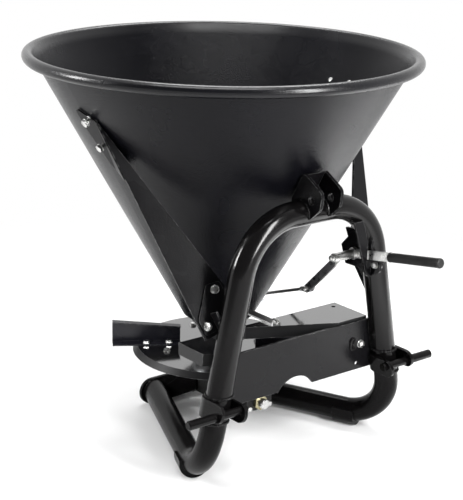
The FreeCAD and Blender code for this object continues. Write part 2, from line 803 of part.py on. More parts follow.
# Stay strap from the deck to the foot of the cone.
tongue_blank = new_body("tongue_blank")
tongue_half = size("tongue_width") / 2
tongue_side = size("tongue_side")
tongue_right = tongue_side + tongue_half
tongue_left = tongue_side - tongue_half
tongue_end = deck_back + size("tongue_lap")
tongue_edges = [
    Part.LineSegment(Vector(tongue_left, cone_foot, 0), Vector(tongue_right, cone_foot, 0)),
    Part.LineSegment(Vector(tongue_right, cone_foot, 0), Vector(tongue_right, tongue_end, 0)),
    Part.Arc(
        Vector(tongue_right, tongue_end, 0),
        Vector(tongue_side, tongue_end + tongue_half, 0),
        Vector(tongue_left, tongue_end, 0),
    ),
    Part.LineSegment(Vector(tongue_left, tongue_end, 0), Vector(tongue_left, cone_foot, 0)),
]
tongue_sketch = new_sketch(tongue_blank, "XY_Plane", tongue_edges, "tongue", "Sizes.deck_height")
pad(tongue_blank, tongue_sketch, "Sizes.tongue_thick", "tongue_plate")
keep(cut("tongue_strap", tongue_blank, cone_envelope))

# ---------------------------------------------------------------- support arms
# Each arm is one folded plate: a web from the leg up to the cone, a narrow return and a tab on the cone.
arm_thick = size("arm_thick")
arm_top_height = size("arm_top_height")
arm_top_forward = size("arm_top_forward")
stand_off = (arm_thick / 2 + size("arm_gap")) / math.cos(half_angle)
arm_top_side = math.sqrt((cone_radius(arm_top_height) + stand_off) ** 2 - arm_top_forward ** 2)
arm_top = Vector(arm_top_side, arm_top_forward, arm_top_height)
arm_low = Vector(size("arm_low_side"), size("arm_low_forward"), size("arm_low_height"))
arm_heel = Vector(size("arm_heel_side"), size("arm_heel_forward"), size("arm_heel_height"))


def plane_frame(origin, toward, beside):
    """Placement with X towards one point and Z square to the plane through all three."""
    along = (toward - origin).normalize()
    normal = along.cross(beside - origin).normalize()
    across = normal.cross(along)
    matrix = FreeCAD.Matrix(
        along.x, across.x, normal.x, origin.x,
        along.y, across.y, normal.y, origin.y,
        along.z, across.z, normal.z, origin.z,
        0, 0, 0, 1,
    )
    return Placement(matrix)


def panel(label, frame, corners, holes=()):
    """Flat plate of the arm's thickness, centred on the XY plane of a frame."""
    body = new_body(label)
    sketch = new_sketch(body, "XY_Plane", rounded_outline(corners), label + "_outline", "-Sizes.arm_thick / 2")
    pad(body, sketch, "Sizes.arm_thick", label + "_plate")
    if holes:
        drill = new_sketch(body, "XY_Plane", [circle(size("bolt_hole") / 2, hole) for hole in holes], label + "_holes")
        for index in range(len(holes)):
            bind_circle(drill, index, "Sizes.bolt_hole / 2")
        pocket(body, drill, "Sizes.arm_thick * 3", label + "_drilled", both=True)
    body.Placement = frame
    return body


web_frame = plane_frame(arm_top, arm_low, arm_heel)
arm_length = size("arm_length")
heel_x = arm_length - size("heel_setback")
heel_y = size("heel_width")
web_corners = [
    (0, 0),
    (arm_length, 0),
    (arm_length, heel_y * 0.4),
    (heel_x + 12, heel_y + 2, 14),
    (heel_x - 12, heel_y - 3, 14),
]
leg_bolts = [(heel_x + 8, heel_y - 26), (heel_x + 76, heel_y - 80)]
web = panel("arm_web", web_frame, web_corners, leg_bolts)

bearing = math.radians(size("tab_bearing"))
tab_normal = Vector(
    math.cos(half_angle) * math.cos(bearing), math.cos(half_angle) * math.sin(bearing), -math.sin(half_angle)
)
tab_down = Vector(
    -math.sin(half_angle) * math.cos(bearing), -math.sin(half_angle) * math.sin(bearing), -math.cos(half_angle)
)
tab_foot = Vector(
    cone_radius(arm_top_height) * math.cos(bearing), cone_radius(arm_top_height) * math.sin(bearing), arm_top_height
)
tab_origin = tab_foot + tab_normal * (arm_thick / 2 + size("arm_gap"))
tab_frame = plane_frame(tab_origin, tab_origin + tab_down, tab_origin + tab_normal.cross(tab_down))
tab_bottom = (139, 14)
tab_corners = [(-28, -33, 6), (-3, 30), tab_bottom, (128, 3), (24, -28, 10)]
tab = panel("arm_tab", tab_frame, tab_corners)

return_low = web_frame.multVec(Vector(145, 0, 0))
return_inside = tab_frame.multVec(Vector(tab_bottom[0], tab_bottom[1], 0))
return_frame = plane_frame(arm_top, return_low, return_inside)
inside_local = return_frame.inverse().multVec(return_inside)
fold_return = panel("arm_return", return_frame, [(-4, 0), (145, 0), (inside_local.x, inside_local.y)])
arm_raw = fuse("arm_raw", web, fold_return, tab)
arm_right = keep(cut("support_arm_right", cut("arm_off_cone", arm_raw, cone_envelope), tube_envelope))
keep(mirrored("support_arm_left", arm_right))

# Bracket that carries the web on the leg: a flange behind the two bolts and a stem to the pipe.
flange_frame = web_frame.multiply(Placement(Vector(0, 0, arm_thick), Rotation()))
flange_corners = [
    (leg_bolts[0][0] - 18, leg_bolts[0][1] - 14, 6),
    (leg_bolts[1][0] - 22, leg_bolts[1][1] - 12, 6),
    (leg_bolts[1][0] + 18, leg_bolts[1][1] - 12, 6),
    (leg_bolts[1][0] + 18, leg_bolts[1][1] + 28),
    (leg_bolts[0][0] + 20, leg_bolts[0][1] + 20, 6),
    (leg_bolts[0][0] - 12, leg_bolts[0][1] + 20, 6),
]
flange = panel("bracket_flange", flange_frame, flange_corners, leg_bolts)
# The stem runs square from the flange to the level of the leg's axis.
stem_start = web_frame.multVec(Vector(arm_length - size("stem_width"), leg_bolts[1][1] + 20, arm_thick * 1.5))
leg_point = Vector(leg_side(stem_start.z), hoop_forward, stem_start.z)
stem_depth = (leg_point - stem_start).dot(web_frame.Rotation.multVec(Vector(0, 0, 1)))
stem = box(
    "bracket_stem",
    ["Sizes.stem_width - 4", "Sizes.arm_thick", "{0:.6f}".format(stem_depth)],
    Placement(stem_start, web_frame.Rotation),
)
bracket_raw = fuse("bracket_raw", flange, stem)
bracket_right = keep(cut("arm_bracket_right", bracket_raw, tube_envelope))
keep(mirrored("arm_bracket_left", bracket_right))

# ---------------------------------------------------------------- outlet and shutter
# Outlet plate welded under the pan, with a collar that guides the shutter and a lip that holds it up.


def ring_sector(inner, outer, start, sweep):
    """Edges of a port: the part of a ring between two angles in degrees."""
    middle = start + sweep / 2
    end = start + sweep
    return [
        Part.Arc(flat(turned(outer, start)), flat(turned(outer, middle)), flat(turned(outer, end))),
        Part.LineSegment(flat(turned(outer, end)), flat(turned(inner, end))),
        Part.Arc(flat(turned(inner, end)), flat(turned(inner, middle)), flat(turned(inner, start))),
        Part.LineSegment(flat(turned(inner, start)), flat(turned(outer, start))),
    ]


outlet_top = pan_level
outlet_low = outlet_top - size("outlet_thick")
shutter_top = outlet_low - size("shutter_gap")
shutter_low = shutter_top - size("shutter_thick")
lip_top = shutter_low - size("shutter_gap")
lip_low = lip_top - size("collar_lip_thick")
outlet_plate = new_body("outlet_plate")
outlet_profile = [
    (size("collar_bore"), outlet_top),
    (size("collar_bore"), lip_low),
    (size("collar_lip"), lip_low),
    (size("collar_lip"), lip_top),
    (size("collar_radius"), lip_top),
    (size("collar_radius"), outlet_low),
    (pan_radius, outlet_low),
    (pan_radius, outlet_top),
]
outlet_sketch = new_sketch(outlet_plate, "XZ_Plane", rounded_outline(outlet_profile), "plate_and_collar")
turn(outlet_plate, outlet_sketch, "turned_plate")
port_angle = size("port_angle")
port_count = 6
outlet_ports = new_sketch(
    outlet_plate, "XY_Plane", ring_sector(size("port_inner"), size("port_outer"), 0, port_angle), "port"
)
outlet_port = pocket(outlet_plate, outlet_ports, "Sizes.cone_bottom_height * 3", "port_cut", both=True)
around(outlet_plate, outlet_port, port_count, "ports")
keep(outlet_plate)

# Shutter: the same ports, turned half a port away, and a cranked arm out past the cone to the rod.
arm_reach = size("shutter_arm_reach")
arm_half = size("shutter_arm_width") / 2
arm_rise = size("shutter_arm_rise")
shutter = new_body("shutter")
shutter_ring = new_sketch(
    shutter,
    "XY_Plane",
    [circle(size("shutter_radius")), circle(size("collar_radius") + size("drive_fit"))],
    "shutter_ring",
    "0",
)
bind_circle(shutter_ring, 0, "Sizes.shutter_radius")
bind_circle(shutter_ring, 1, "Sizes.collar_radius + Sizes.drive_fit")
pad(shutter, shutter_ring, "Sizes.shutter_thick", "shutter_disc")
arm_end = arm_reach + arm_half
arm_step = cone_foot + 18
thick = size("shutter_thick")
arm_section = [
    (size("shutter_radius") - 8, 0),
    (arm_step, 0),
    (arm_step + arm_rise * 0.4, arm_rise),
    (arm_end, arm_rise),
    (arm_end, arm_rise + thick),
    (arm_step + arm_rise * 0.4 - thick / 2, arm_rise + thick),
    (arm_step - thick / 2, thick),
    (size("shutter_radius") - 8, thick),
]
arm_sketch = new_sketch(
    shutter, "XZ_Plane", rounded_outline(arm_section), "cranked_arm", "-Sizes.shutter_arm_width / 2"
)
pad(shutter, arm_sketch, "Sizes.shutter_arm_width", "arm")
slot_half = size("shutter_slot_wide") / 2
slot_reach = size("shutter_slot_long") / 2 - slot_half
slot_centre = arm_reach
slot_edges = [
    Part.LineSegment(Vector(slot_centre - slot_reach, -slot_half, 0), Vector(slot_centre + slot_reach, -slot_half, 0)),
    Part.Arc(
        Vector(slot_centre + slot_reach, -slot_half, 0),
        Vector(slot_centre + slot_reach + slot_half, 0, 0),
        Vector(slot_centre + slot_reach, slot_half, 0),
    ),
    Part.LineSegment(Vector(slot_centre + slot_reach, slot_half, 0), Vector(slot_centre - slot_reach, slot_half, 0)),
    Part.Arc(
        Vector(slot_centre - slot_reach, slot_half, 0),
        Vector(slot_centre - slot_reach - slot_half, 0, 0),
        Vector(slot_centre - slot_reach, -slot_half, 0),
    ),
]
slot_sketch = new_sketch(shutter, "XY_Plane", slot_edges, "rod_slot")
pocket(shutter, slot_sketch, "Sizes.shutter_arm_rise * 6", "rod_slot_cut", both=True)
arm_heading = 180 - math.degrees(math.asin(size("rod_end_forward") / arm_reach))
shutter_ports = new_sketch(
    shutter,
    "XY_Plane",
    ring_sector(size("port_inner"), size("port_outer"), port_angle * 0.9 - arm_heading, port_angle),
    "shutter_port",
)
shutter_port = pocket(shutter, shutter_ports, "Sizes.shutter_thick * 3", "shutter_port_cut", both=True)
around(shutter, shutter_port, port_count, "shutter_ports")
shutter.Placement = Placement(Vector(0, 0, shutter_low), Rotation(Vector(0, 0, 1), arm_heading))
keep(shutter)

# ---------------------------------------------------------------- spinner
# Disc with a flared skirt, on a hub that is keyed to the spindle.
disc_top = size("disc_top")
disc_thick = size("disc_thick")
spindle_radius = size("spindle_radius")
disc_flat = size("disc_flat_radius")
disc_radius = size("disc_radius")
skirt = size("disc_skirt")
skirt_span = length_of(disc_radius - disc_flat, skirt)
skirt_out = (skirt / skirt_span * disc_thick, (disc_radius - disc_flat) / skirt_span * disc_thick)
disc_profile = [
    (spindle_radius, disc_top),
    (disc_flat, disc_top),
    (disc_radius, disc_top - skirt),
    (disc_radius - skirt_out[0], disc_top - skirt - skirt_out[1]),
    (disc_flat - disc_thick * math.tan(math.atan2(skirt, disc_radius - disc_flat) / 2), disc_top - disc_thick),
    (spindle_radius, disc_top - disc_thick),
]
spreading_disc = new_body("spreading_disc")
disc_sketch = new_sketch(spreading_disc, "XZ_Plane", rounded_outline(disc_profile), "disc_profile")
turn(spreading_disc, disc_sketch, "pressed_disc")
keep(spreading_disc)

disc_hub = new_body("disc_hub")
hub_radius = size("hub_radius")
hub_top = disc_top - disc_thick
hub_profile = [
    (spindle_radius, hub_top),
    (hub_radius, hub_top),
    (hub_radius, hub_top - 8),
    (spindle_radius + 9, hub_top - 8, 3),
    (spindle_radius + 9, hub_top - size("hub_drop")),
    (spindle_radius, hub_top - size("hub_drop")),
]
hub_sketch = new_sketch(disc_hub, "XZ_Plane", rounded_outline(hub_profile), "hub_profile")
turn(disc_hub, hub_sketch, "turned_hub")
keep(disc_hub)

# Spindle with two crossed pairs of stirring fingers above the outlet plate.
spindle = new_body("spindle")
spindle_foot = size("spindle_foot")
spindle_profile = [
    (0, spindle_foot),
    (spindle_radius, spindle_foot),
    (spindle_radius, size("spindle_top") - 4),
    (spindle_radius - 4, size("spindle_top")),
    (0, size("spindle_top")),
]
spindle_sketch = new_sketch(spindle, "XZ_Plane", rounded_outline(spindle_profile), "spindle_profile")
turn(spindle, spindle_sketch, "turned_spindle")
fingers = []
for number, (level, heading) in enumerate([(300, 20), (318, 110)]):
    centre = turned(-size("finger_reach"), heading)
    across = Rotation(Vector(0, 0, 1), Vector(math.cos(math.radians(heading)), math.sin(math.radians(heading)), 0))
    fingers.append(
        cylinder(
            f"stirring_finger_{number + 1}",
            "Sizes.finger_radius",
            "2 * Sizes.finger_reach",
            (centre[0], centre[1], level),
            across,
        )
    )
keep(fuse("spindle_and_fingers", spindle, *fingers))

# Vanes: four folded channels that widen outwards and lead past the disc's edge.
vane_length = size("vane_length")
vane_inner = size("vane_inner_reach")
vane_sheet = size("vane_sheet")
inner_height = size("vane_inner_height")
outer_height = size("vane_outer_height")
vane_rise = math.degrees(math.atan2(outer_height - inner_height, vane_length))


def vane_blank(label):
    """Channel with a level foot, an upright web and a rising lip, lying along its own X axis."""
    web_plate = new_body(label + "_web")
    web_outline = [(0, 0), (vane_length, 0), (vane_length, outer_height), (0, inner_height)]
    web_sketch = new_sketch(web_plate, "XZ_Plane", rounded_outline(web_outline), label + "_web_outline", "-Sizes.vane_sheet")
    pad(web_plate, web_sketch, "Sizes.vane_sheet", label + "_web_plate")
    foot_plate = box(label + "_foot", ["Sizes.vane_length", "Sizes.vane_foot", "Sizes.vane_sheet"], (0, 0, 0))
    lip_frame = Placement(
        Vector(0, 0, inner_height - vane_sheet), Rotation(Vector(0, 1, 0), -vane_rise)
    )
    lip_length = "Sizes.vane_length / cos({0:.6f})".format(vane_rise)
    lip_plate = box(label + "_lip", [lip_length, "Sizes.vane_lip", "Sizes.vane_sheet"], lip_frame)
    return fuse(label, web_plate, foot_plate, lip_plate)


vane_heading = -32.0
for number in range(4):
    vane = vane_blank(f"vane_{number + 1}")
    heading = vane_heading + 90 * number
    swing = Rotation(Vector(0, 0, 1), heading)
    start = swing.multVec(Vector(vane_inner, -size("vane_lead"), 0))
    vane.Placement = Placement(Vector(start.x, start.y, disc_top), swing)
    keep(vane)

# ---------------------------------------------------------------- gearbox and drive
# Cast housing: a block with a round neck on top and a bearing carrier with a square flange in front.
half_box = size("gearbox_width") / 2
input_height = size("input_height")
carrier_rise = size("carrier_rise")
gearbox_block = box(
    "gearbox_block",
    ["Sizes.gearbox_width", "Sizes.gearbox_front + Sizes.gearbox_back", "Sizes.gearbox_top - Sizes.gearbox_bottom"],
    (-half_box, -size("gearbox_back"), size("gearbox_bottom")),
)
neck = cylinder(
    "gearbox_neck", "Sizes.neck_radius", "Sizes.neck_top - Sizes.gearbox_top + 10", (0, 0, size("gearbox_top") - 10)
)
carrier = cylinder(
    "bearing_carrier",
    "Sizes.gearbox_width * 0.4",
    "Sizes.carrier_front - Sizes.gearbox_front + 20",
    (0, size("gearbox_front") - 20, input_height + carrier_rise),
    ALONG_Y,
)
flange_height = size("flange_height")
carrier_flange = box(
    "carrier_flange",
    ["Sizes.gearbox_width", "Sizes.carrier_flange", "Sizes.flange_height"],
    (-half_box, size("carrier_front"), input_height + carrier_rise - flange_height / 2),
)
gearbox_solid = fuse("gearbox_solid", gearbox_block, neck, carrier, carrier_flange)
spindle_bore = cylinder(
    "spindle_bore", "Sizes.spindle_radius + Sizes.drive_fit", "Sizes.neck_top", (0, 0, spindle_foot)
)
input_bore = cylinder(
    "input_bore",
    "Sizes.input_radius + Sizes.drive_fit",
    "Sizes.gearbox_front * 3",
    (0, size("carrier_front") - size("shaft_depth"), input_height),
    ALONG_Y,
)
keep(cut("gearbox_housing", gearbox_solid, fuse("gearbox_bores", spindle_bore, input_bore)))

# Input shaft: a stub with a wider collar in front of the flange.
input_shaft = new_body("input_shaft")
flange_face = size("carrier_front") + size("carrier_flange")
input_radius = size("input_radius")
shaft_back = size("carrier_front") - size("shaft_depth") + 1
collar_back = flange_face + size("collar_gap")
collar_front = collar_back + size("collar_width")
shaft_profile = [
    (shaft_back, 0),
    (shaft_back, input_radius),
    (collar_back, input_radius),
    (collar_back, input_radius + size("collar_step")),
    (collar_front, input_radius + size("collar_step")),
    (collar_front, input_radius),
    (flange_face + size("stub_reach") - 2, input_radius),
    (flange_face + size("stub_reach"), input_radius - 2),
    (flange_face + size("stub_reach"), 0),
]
shaft_sketch = new_sketch(
    input_shaft, "YZ_Plane", rounded_outline(shaft_profile), "shaft_profile"
)
turn(input_shaft, shaft_sketch, "turned_shaft", "Y_Axis")
input_shaft.Placement = Placement(Vector(0, 0, input_height), Rotation())
keep(input_shaft)

# Struts: flat bars on the housing's sides that run down to the rear cross plate.
strut = new_body("strut_blank")
plate_face = -size("tail_back")
strut_width = size("strut_width")
strut_outline = [
    (-size("gearbox_back") + 32, size("gearbox_top") - 26, 8),
    (-size("gearbox_back") - 6, size("gearbox_top") - 26, 8),
    (plate_face, strut_width + 2),
    (plate_face, 4),
    (plate_face + 12, 4),
    (-size("gearbox_back") + 32, size("gearbox_bottom") + 6, 8),
]
strut_sketch = new_sketch(strut, "YZ_Plane", rounded_outline(strut_outline), "strut_outline", "Sizes.gearbox_width / 2")
pad(strut, strut_sketch, "Sizes.strut_thick", "strut_plate")
strut_right = keep(cut("gearbox_strut_right", strut, tube_envelope))
keep(mirrored("gearbox_strut_left", strut_right))

# ---------------------------------------------------------------- feed control
# Bracket on the inner side of the left leg: an upright plate with a stop lug, a spacer to the pipe,
# a fixed shaft, and in front a gate whose slanted strap leads the lever's bar and ends on the bend.
lever_forward = size("lever_forward")
lever_height = size("lever_height")
bracket_side = pipe_side(lever_height) - tube_radius - size("bracket_seat")
bracket_thick = size("bracket_thick")
gate_reach = size("gate_front") - lever_forward
lug_reach = gate_reach + 30
gate_top = 97.0
fold_top = 45.0
bracket_plate = new_body("bracket_plate")
bracket_outline = [
    (-41, 56, 3),
    (-30, 34),
    (-52, 10, 3),
    (-48, -2),
    (-35, -35, 3),
    (12, -34),
    (34, -43),
    (gate_reach + 4, -43, 6),
    (lug_reach, -28, 8),
    (lug_reach, -1, 8),
    (gate_reach, 4),
    (gate_reach, fold_top),
    (gate_reach - 25, fold_top + 17),
]
bracket_sketch = new_sketch(
    bracket_plate, "YZ_Plane", rounded_outline(bracket_outline), "bracket_outline"
)
pad(bracket_plate, bracket_sketch, "Sizes.bracket_thick", "bracket_plate_pad")
stop_place = (lug_reach - 14, -12.0)
stop_hole = new_sketch(
    bracket_plate, "YZ_Plane", [circle(size("stop_radius"), stop_place)], "stop_hole"
)
bind_circle(stop_hole, 0, "Sizes.stop_radius")
pocket(bracket_plate, stop_hole, "Sizes.bracket_thick * 3", "stop_hole_cut", both=True)
bracket_plate.Placement = Placement(Vector(-bracket_side, lever_forward, lever_height), Rotation())

# The gate is drawn from the plate's inner face, and its slot leaves the bar room on both sides.
bar_thick = size("lever_bar_thick")
side_gap = size("side_gap")
gate_bar_gap = size("gate_bar_gap")
strap_width = size("gate_strap_width")
slot_side = side_gap + bar_thick + gate_bar_gap
strap_lean = 0.36
strap_top = slot_side + strap_lean * (gate_top - fold_top)
gate_outline = [
    (-bracket_thick, -43),
    (6, -45),
    (14, -40),
    (strap_top + strap_width, gate_top, 3),
    (strap_top, gate_top, 3),
    (slot_side, fold_top),
    (slot_side, -23, 4),
    (0, -23),
    (0, fold_top),
    (-bracket_thick, fold_top),
]
gate = new_body("gate")
gate_sketch = new_sketch(gate, "XZ_Plane", rounded_outline(gate_outline), "gate_outline")
pad(gate, gate_sketch, "Sizes.gate_thick", "gate_strap")
gate.Placement = Placement(
    Vector(bracket_thick - bracket_side, size("gate_front"), lever_height), Rotation()
)
# The strap's top end is bent back on to the pipe.
gate_return = box(
    "gate_return",
    ["Sizes.gate_strap_width", "Sizes.gate_thick + 12", "Sizes.gate_thick"],
    (
        bracket_thick - bracket_side + strap_top,
        size("gate_front") - size("gate_thick") - 12,
        lever_height + gate_top - size("gate_thick"),
    ),
)
bracket_spacer = box(
    "bracket_spacer",
    [
        "Sizes.tube_outside / 2 + Sizes.bracket_seat",
        "Sizes.bracket_spacer_width",
        "Sizes.bracket_spacer_high",
    ],
    (
        -pipe_side(lever_height),
        hoop_forward - size("bracket_spacer_width") / 2,
        lever_height - size("bracket_spacer_high") * 0.6,
    ),
)
hub_length = size("lever_hub_length")
shaft_length = bracket_thick + side_gap + hub_length + 1
lever_shaft = cylinder(
    "lever_shaft",
    "Sizes.lever_shaft_radius",
    "Sizes.bracket_thick + Sizes.side_gap + Sizes.lever_hub_length + 1",
    (-bracket_side, lever_forward, lever_height),
    ALONG_X,
)
shaft_washer = cylinder(
    "lever_shaft_washer",
    "Sizes.lever_hub_radius",
    "4",
    (-bracket_side + shaft_length, lever_forward, lever_height),
    ALONG_X,
)
bracket_solid = fuse(
    "lever_bracket_solid", bracket_plate, gate, gate_return, bracket_spacer, lever_shaft, shaft_washer
)
keep(cut("lever_bracket", bracket_solid, tube_envelope))

# Lever: a long hub on the shaft, the bar at its outer end and the crank at its inner end, welded together.
lever_layer = bracket_thick + side_gap - bracket_side
rise = size("lever_rise")
bar_half = size("lever_bar_high") / 2
grip_start = size("lever_grip_start")
grip_length = size("lever_grip_length")
bar_in_grip = 30.0
hub = cylinder(
    "lever_hub", "Sizes.lever_hub_radius", "Sizes.lever_hub_length", (lever_layer, lever_forward, lever_height), ALONG_X
)
boss = cylinder(
    "lever_boss", "Sizes.lever_boss_radius", "Sizes.lever_boss_length", (lever_layer, lever_forward, lever_height), ALONG_X
)
bar = new_body("lever_bar_plate")
bar_end = grip_start + bar_in_grip
bar_outline = [(0, -bar_half), (bar_end, -bar_half), (bar_end, bar_half), (0, bar_half)]
bar_sketch = new_sketch(bar, "YZ_Plane", rounded_outline(bar_outline), "bar_outline")
pad(bar, bar_sketch, "Sizes.lever_bar_thick", "bar_plate")
bar.Placement = Placement(Vector(lever_layer, lever_forward, lever_height), Rotation(Vector(1, 0, 0), rise))
crank_drop = size("crank_drop")
crank_back = size("crank_back")
crank_length = length_of(crank_drop, crank_back)
crank_angle = math.degrees(math.atan2(crank_drop, crank_back))
crank = new_body("crank_plate")
crank_half = size("crank_half_width")
crank_edges = [
    Part.LineSegment(flat((0, -crank_half)), flat((0, crank_half))),
    Part.LineSegment(flat((0, crank_half)), flat((-crank_length, crank_half))),
    Part.Arc(
        flat((-crank_length, crank_half)), flat((-crank_length - crank_half, 0)), flat((-crank_length, -crank_half))
    ),
    Part.LineSegment(flat((-crank_length, -crank_half)), flat((0, -crank_half))),
]
crank_sketch = new_sketch(crank, "YZ_Plane", crank_edges, "crank_outline")
pad(crank, crank_sketch, "Sizes.lever_bar_thick", "crank_plate_pad")
crank_layer = lever_layer + hub_length - bar_thick - size("crank_inset")
crank.Placement = Placement(Vector(crank_layer, lever_forward, lever_height), Rotation(Vector(1, 0, 0), crank_angle))
crank_tip = Vector(crank_layer, lever_forward - crank_back, lever_height - crank_drop)
eye_width = size("rod_eye_width")
pin_reach = eye_width + 2 * side_gap
crank_pin = cylinder(
    "crank_pin",
    "Sizes.rod_radius",
    "Sizes.rod_eye_width + 2 * Sizes.side_gap + 1",
    (crank_tip.x - pin_reach, crank_tip.y, crank_tip.z),
    ALONG_X,
)
pin_head = cylinder(
    "crank_pin_head",
    "Sizes.rod_radius + 3",
    "4",
    (crank_tip.x - pin_reach - 4, crank_tip.y, crank_tip.z),
    ALONG_X,
)
lever_raw = fuse("lever_raw", hub, boss, bar, crank, crank_pin, pin_head)
lever_bore = cylinder(
    "lever_bore",
    "Sizes.lever_shaft_radius + Sizes.drive_fit",
    "Sizes.lever_hub_length * 2",
    (-bracket_side, lever_forward, lever_height),
    ALONG_X,
)
keep(cut("lever", lever_raw, lever_bore))

# Grip: a sleeve pushed over the end of the bar.
grip_blank = new_body("grip_blank")
grip_radius = size("lever_grip_radius")
grip_profile = [
    (grip_start, 0),
    (grip_start, grip_radius + 1.5, 1.5),
    (grip_start + 8, grip_radius + 1.5, 1.5),
    (grip_start + 10, grip_radius),
    (grip_start + grip_length, grip_radius, 5),
    (grip_start + grip_length, 0),
]
grip_sketch = new_sketch(grip_blank, "XY_Plane", rounded_outline(grip_profile), "grip_profile")
turn(grip_blank, grip_sketch, "grip_sleeve", "X_Axis")
grip_blank.Placement = Placement(
    Vector(lever_layer + bar_thick / 2, lever_forward, lever_height),
    Rotation(Vector(1, 0, 0), rise).multiply(Rotation(Vector(0, 0, 1), 90)),
)
keep(cut("lever_grip", grip_blank, bar))

# Rod: an eye on the crank's pin, a straight round bar and a tip bent down into the shutter arm's slot.
rod_tip_drop = 30.0
rod_tip_bend = 10.0
rod_top = Vector(crank_tip.x - pin_reach / 2, crank_tip.y, crank_tip.z)
rod_low = Vector(-size("rod_end_side"), size("rod_end_forward"), size("rod_end_height"))
rod_path = doc.addObject("Part::Feature", "rod_path")
rod_path.Shape = tangent_path([rod_top, rod_low, rod_low - Vector(0, 0, rod_tip_drop)], [rod_tip_bend])
rod_bar = swept_tube("rod_bar", rod_path, "Sizes.rod_radius", rod_top, rod_low - rod_top)
rod_eye = cylinder(
    "rod_eye",
    "Sizes.rod_radius + 6",
    "Sizes.rod_eye_width",
    (rod_top.x - eye_width / 2, rod_top.y, rod_top.z),
    ALONG_X,
)
eye_bore = cylinder(
    "rod_eye_bore",
    "Sizes.rod_radius + Sizes.drive_fit",
    "Sizes.rod_eye_width * 3",
    (rod_top.x - eye_width * 1.5, rod_top.y, rod_top.z),
    ALONG_X,
)
keep(cut("control_rod", fuse("rod_raw", rod_bar, rod_eye), eye_bore))

# ---------------------------------------------------------------- checks and export
doc.recompute()
for item in doc.Objects:
    if "Invalid" in item.State or "Error" in item.State:
        raise RuntimeError(f"{item.Label} failed: {item.State}")
for item in parts:
    if item.Shape.isNull() or not item.Shape.isValid() or len(item.Shape.Solids) != 1:
        raise RuntimeError(f"{item.Label} is not one valid solid")

os.makedirs("parts", exist_ok=True)
for item in parts:
    item.Shape.exportStep(os.path.join("parts", item.Label + ".step"))
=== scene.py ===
"""Looks of a cone fertilizer spreader for a three-point hitch, on its fixed CAD frame."""

import json
import math

import bmesh
import bpy
from mathutils import Matrix, Vector


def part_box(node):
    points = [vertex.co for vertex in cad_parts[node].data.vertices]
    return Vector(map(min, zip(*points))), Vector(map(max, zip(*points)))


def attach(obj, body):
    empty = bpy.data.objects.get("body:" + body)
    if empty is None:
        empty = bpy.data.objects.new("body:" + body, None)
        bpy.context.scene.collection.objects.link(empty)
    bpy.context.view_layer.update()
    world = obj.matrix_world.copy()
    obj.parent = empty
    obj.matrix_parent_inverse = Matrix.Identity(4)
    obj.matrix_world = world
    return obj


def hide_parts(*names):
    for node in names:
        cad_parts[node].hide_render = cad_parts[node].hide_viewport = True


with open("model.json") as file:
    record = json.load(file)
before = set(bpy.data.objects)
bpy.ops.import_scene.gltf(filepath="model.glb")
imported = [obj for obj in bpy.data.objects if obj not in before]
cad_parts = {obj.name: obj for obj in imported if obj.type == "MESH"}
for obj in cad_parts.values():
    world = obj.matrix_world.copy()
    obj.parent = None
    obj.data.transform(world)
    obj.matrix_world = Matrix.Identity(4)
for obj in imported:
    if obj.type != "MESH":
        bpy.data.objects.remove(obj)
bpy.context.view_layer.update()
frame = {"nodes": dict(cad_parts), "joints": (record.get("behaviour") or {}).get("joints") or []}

# ---------------------------------------------------------------- camera
# A short telephoto lens at the front right of the machine, a little above the rim.
# The machine stands on the floor with its hitch side turned to the camera.
camera_spot = Vector((2.135, 2.686, 1.522))
camera_azimuth = math.radians(38.98)
camera_pitch = math.radians(17.30)
camera_roll = math.radians(1.407)
camera_back = Vector(
    (
        math.sin(camera_azimuth) * math.cos(camera_pitch),
        math.cos(camera_azimuth) * math.cos(camera_pitch),
        math.sin(camera_pitch),
    )
)
level_right = Vector((-math.cos(camera_azimuth), math.sin(camera_azimuth), 0))
level_up = camera_back.cross(level_right)
camera_right = level_right * math.cos(camera_roll) + level_up * math.sin(camera_roll)
camera_up = level_up * math.cos(camera_roll) - level_right * math.sin(camera_roll)
camera_data = bpy.data.cameras.new("studio_camera")
camera_data.lens = 102.8
camera_data.sensor_width = 36
camera = bpy.data.objects.new("studio_camera", camera_data)
camera.matrix_world = Matrix.Translation(camera_spot) @ Matrix(
    (camera_right, camera_up, camera_back)
).transposed().to_4x4()
bpy.context.scene.collection.objects.link(camera)
bpy.context.scene.camera = camera

# ---------------------------------------------------------------- floor and light
# A white sweep of paper: pale floor near the machine that fades into the white behind it.
# The floor keeps the soft shadow, and gloss paint and zinc see the same white as the eye.
floor_half = 12.0
floor_white = 0.94
shadow_reach = 1.0
fade_reach = 1.9


def new_material(name):
    """A material with an empty node tree and its output."""
    material = bpy.data.materials.new(name)
    material.use_nodes = True
    material.node_tree.nodes.clear()
    output = material.node_tree.nodes.new("ShaderNodeOutputMaterial")
    return material, material.node_tree, output


def seen_rays(tree):
    """The value 1 for rays from the eye, and those mirrored or let through by a surface."""
    light_path = tree.nodes.new("ShaderNodeLightPath")
    total = light_path.outputs["Is Camera Ray"]
    for kind in ("Is Glossy Ray", "Is Transmission Ray"):
        add = tree.nodes.new("ShaderNodeMath")
        add.operation = "MAXIMUM"
        tree.links.new(total, add.inputs[0])
        tree.links.new(light_path.outputs[kind], add.inputs[1])
        total = add.outputs[0]
    return total


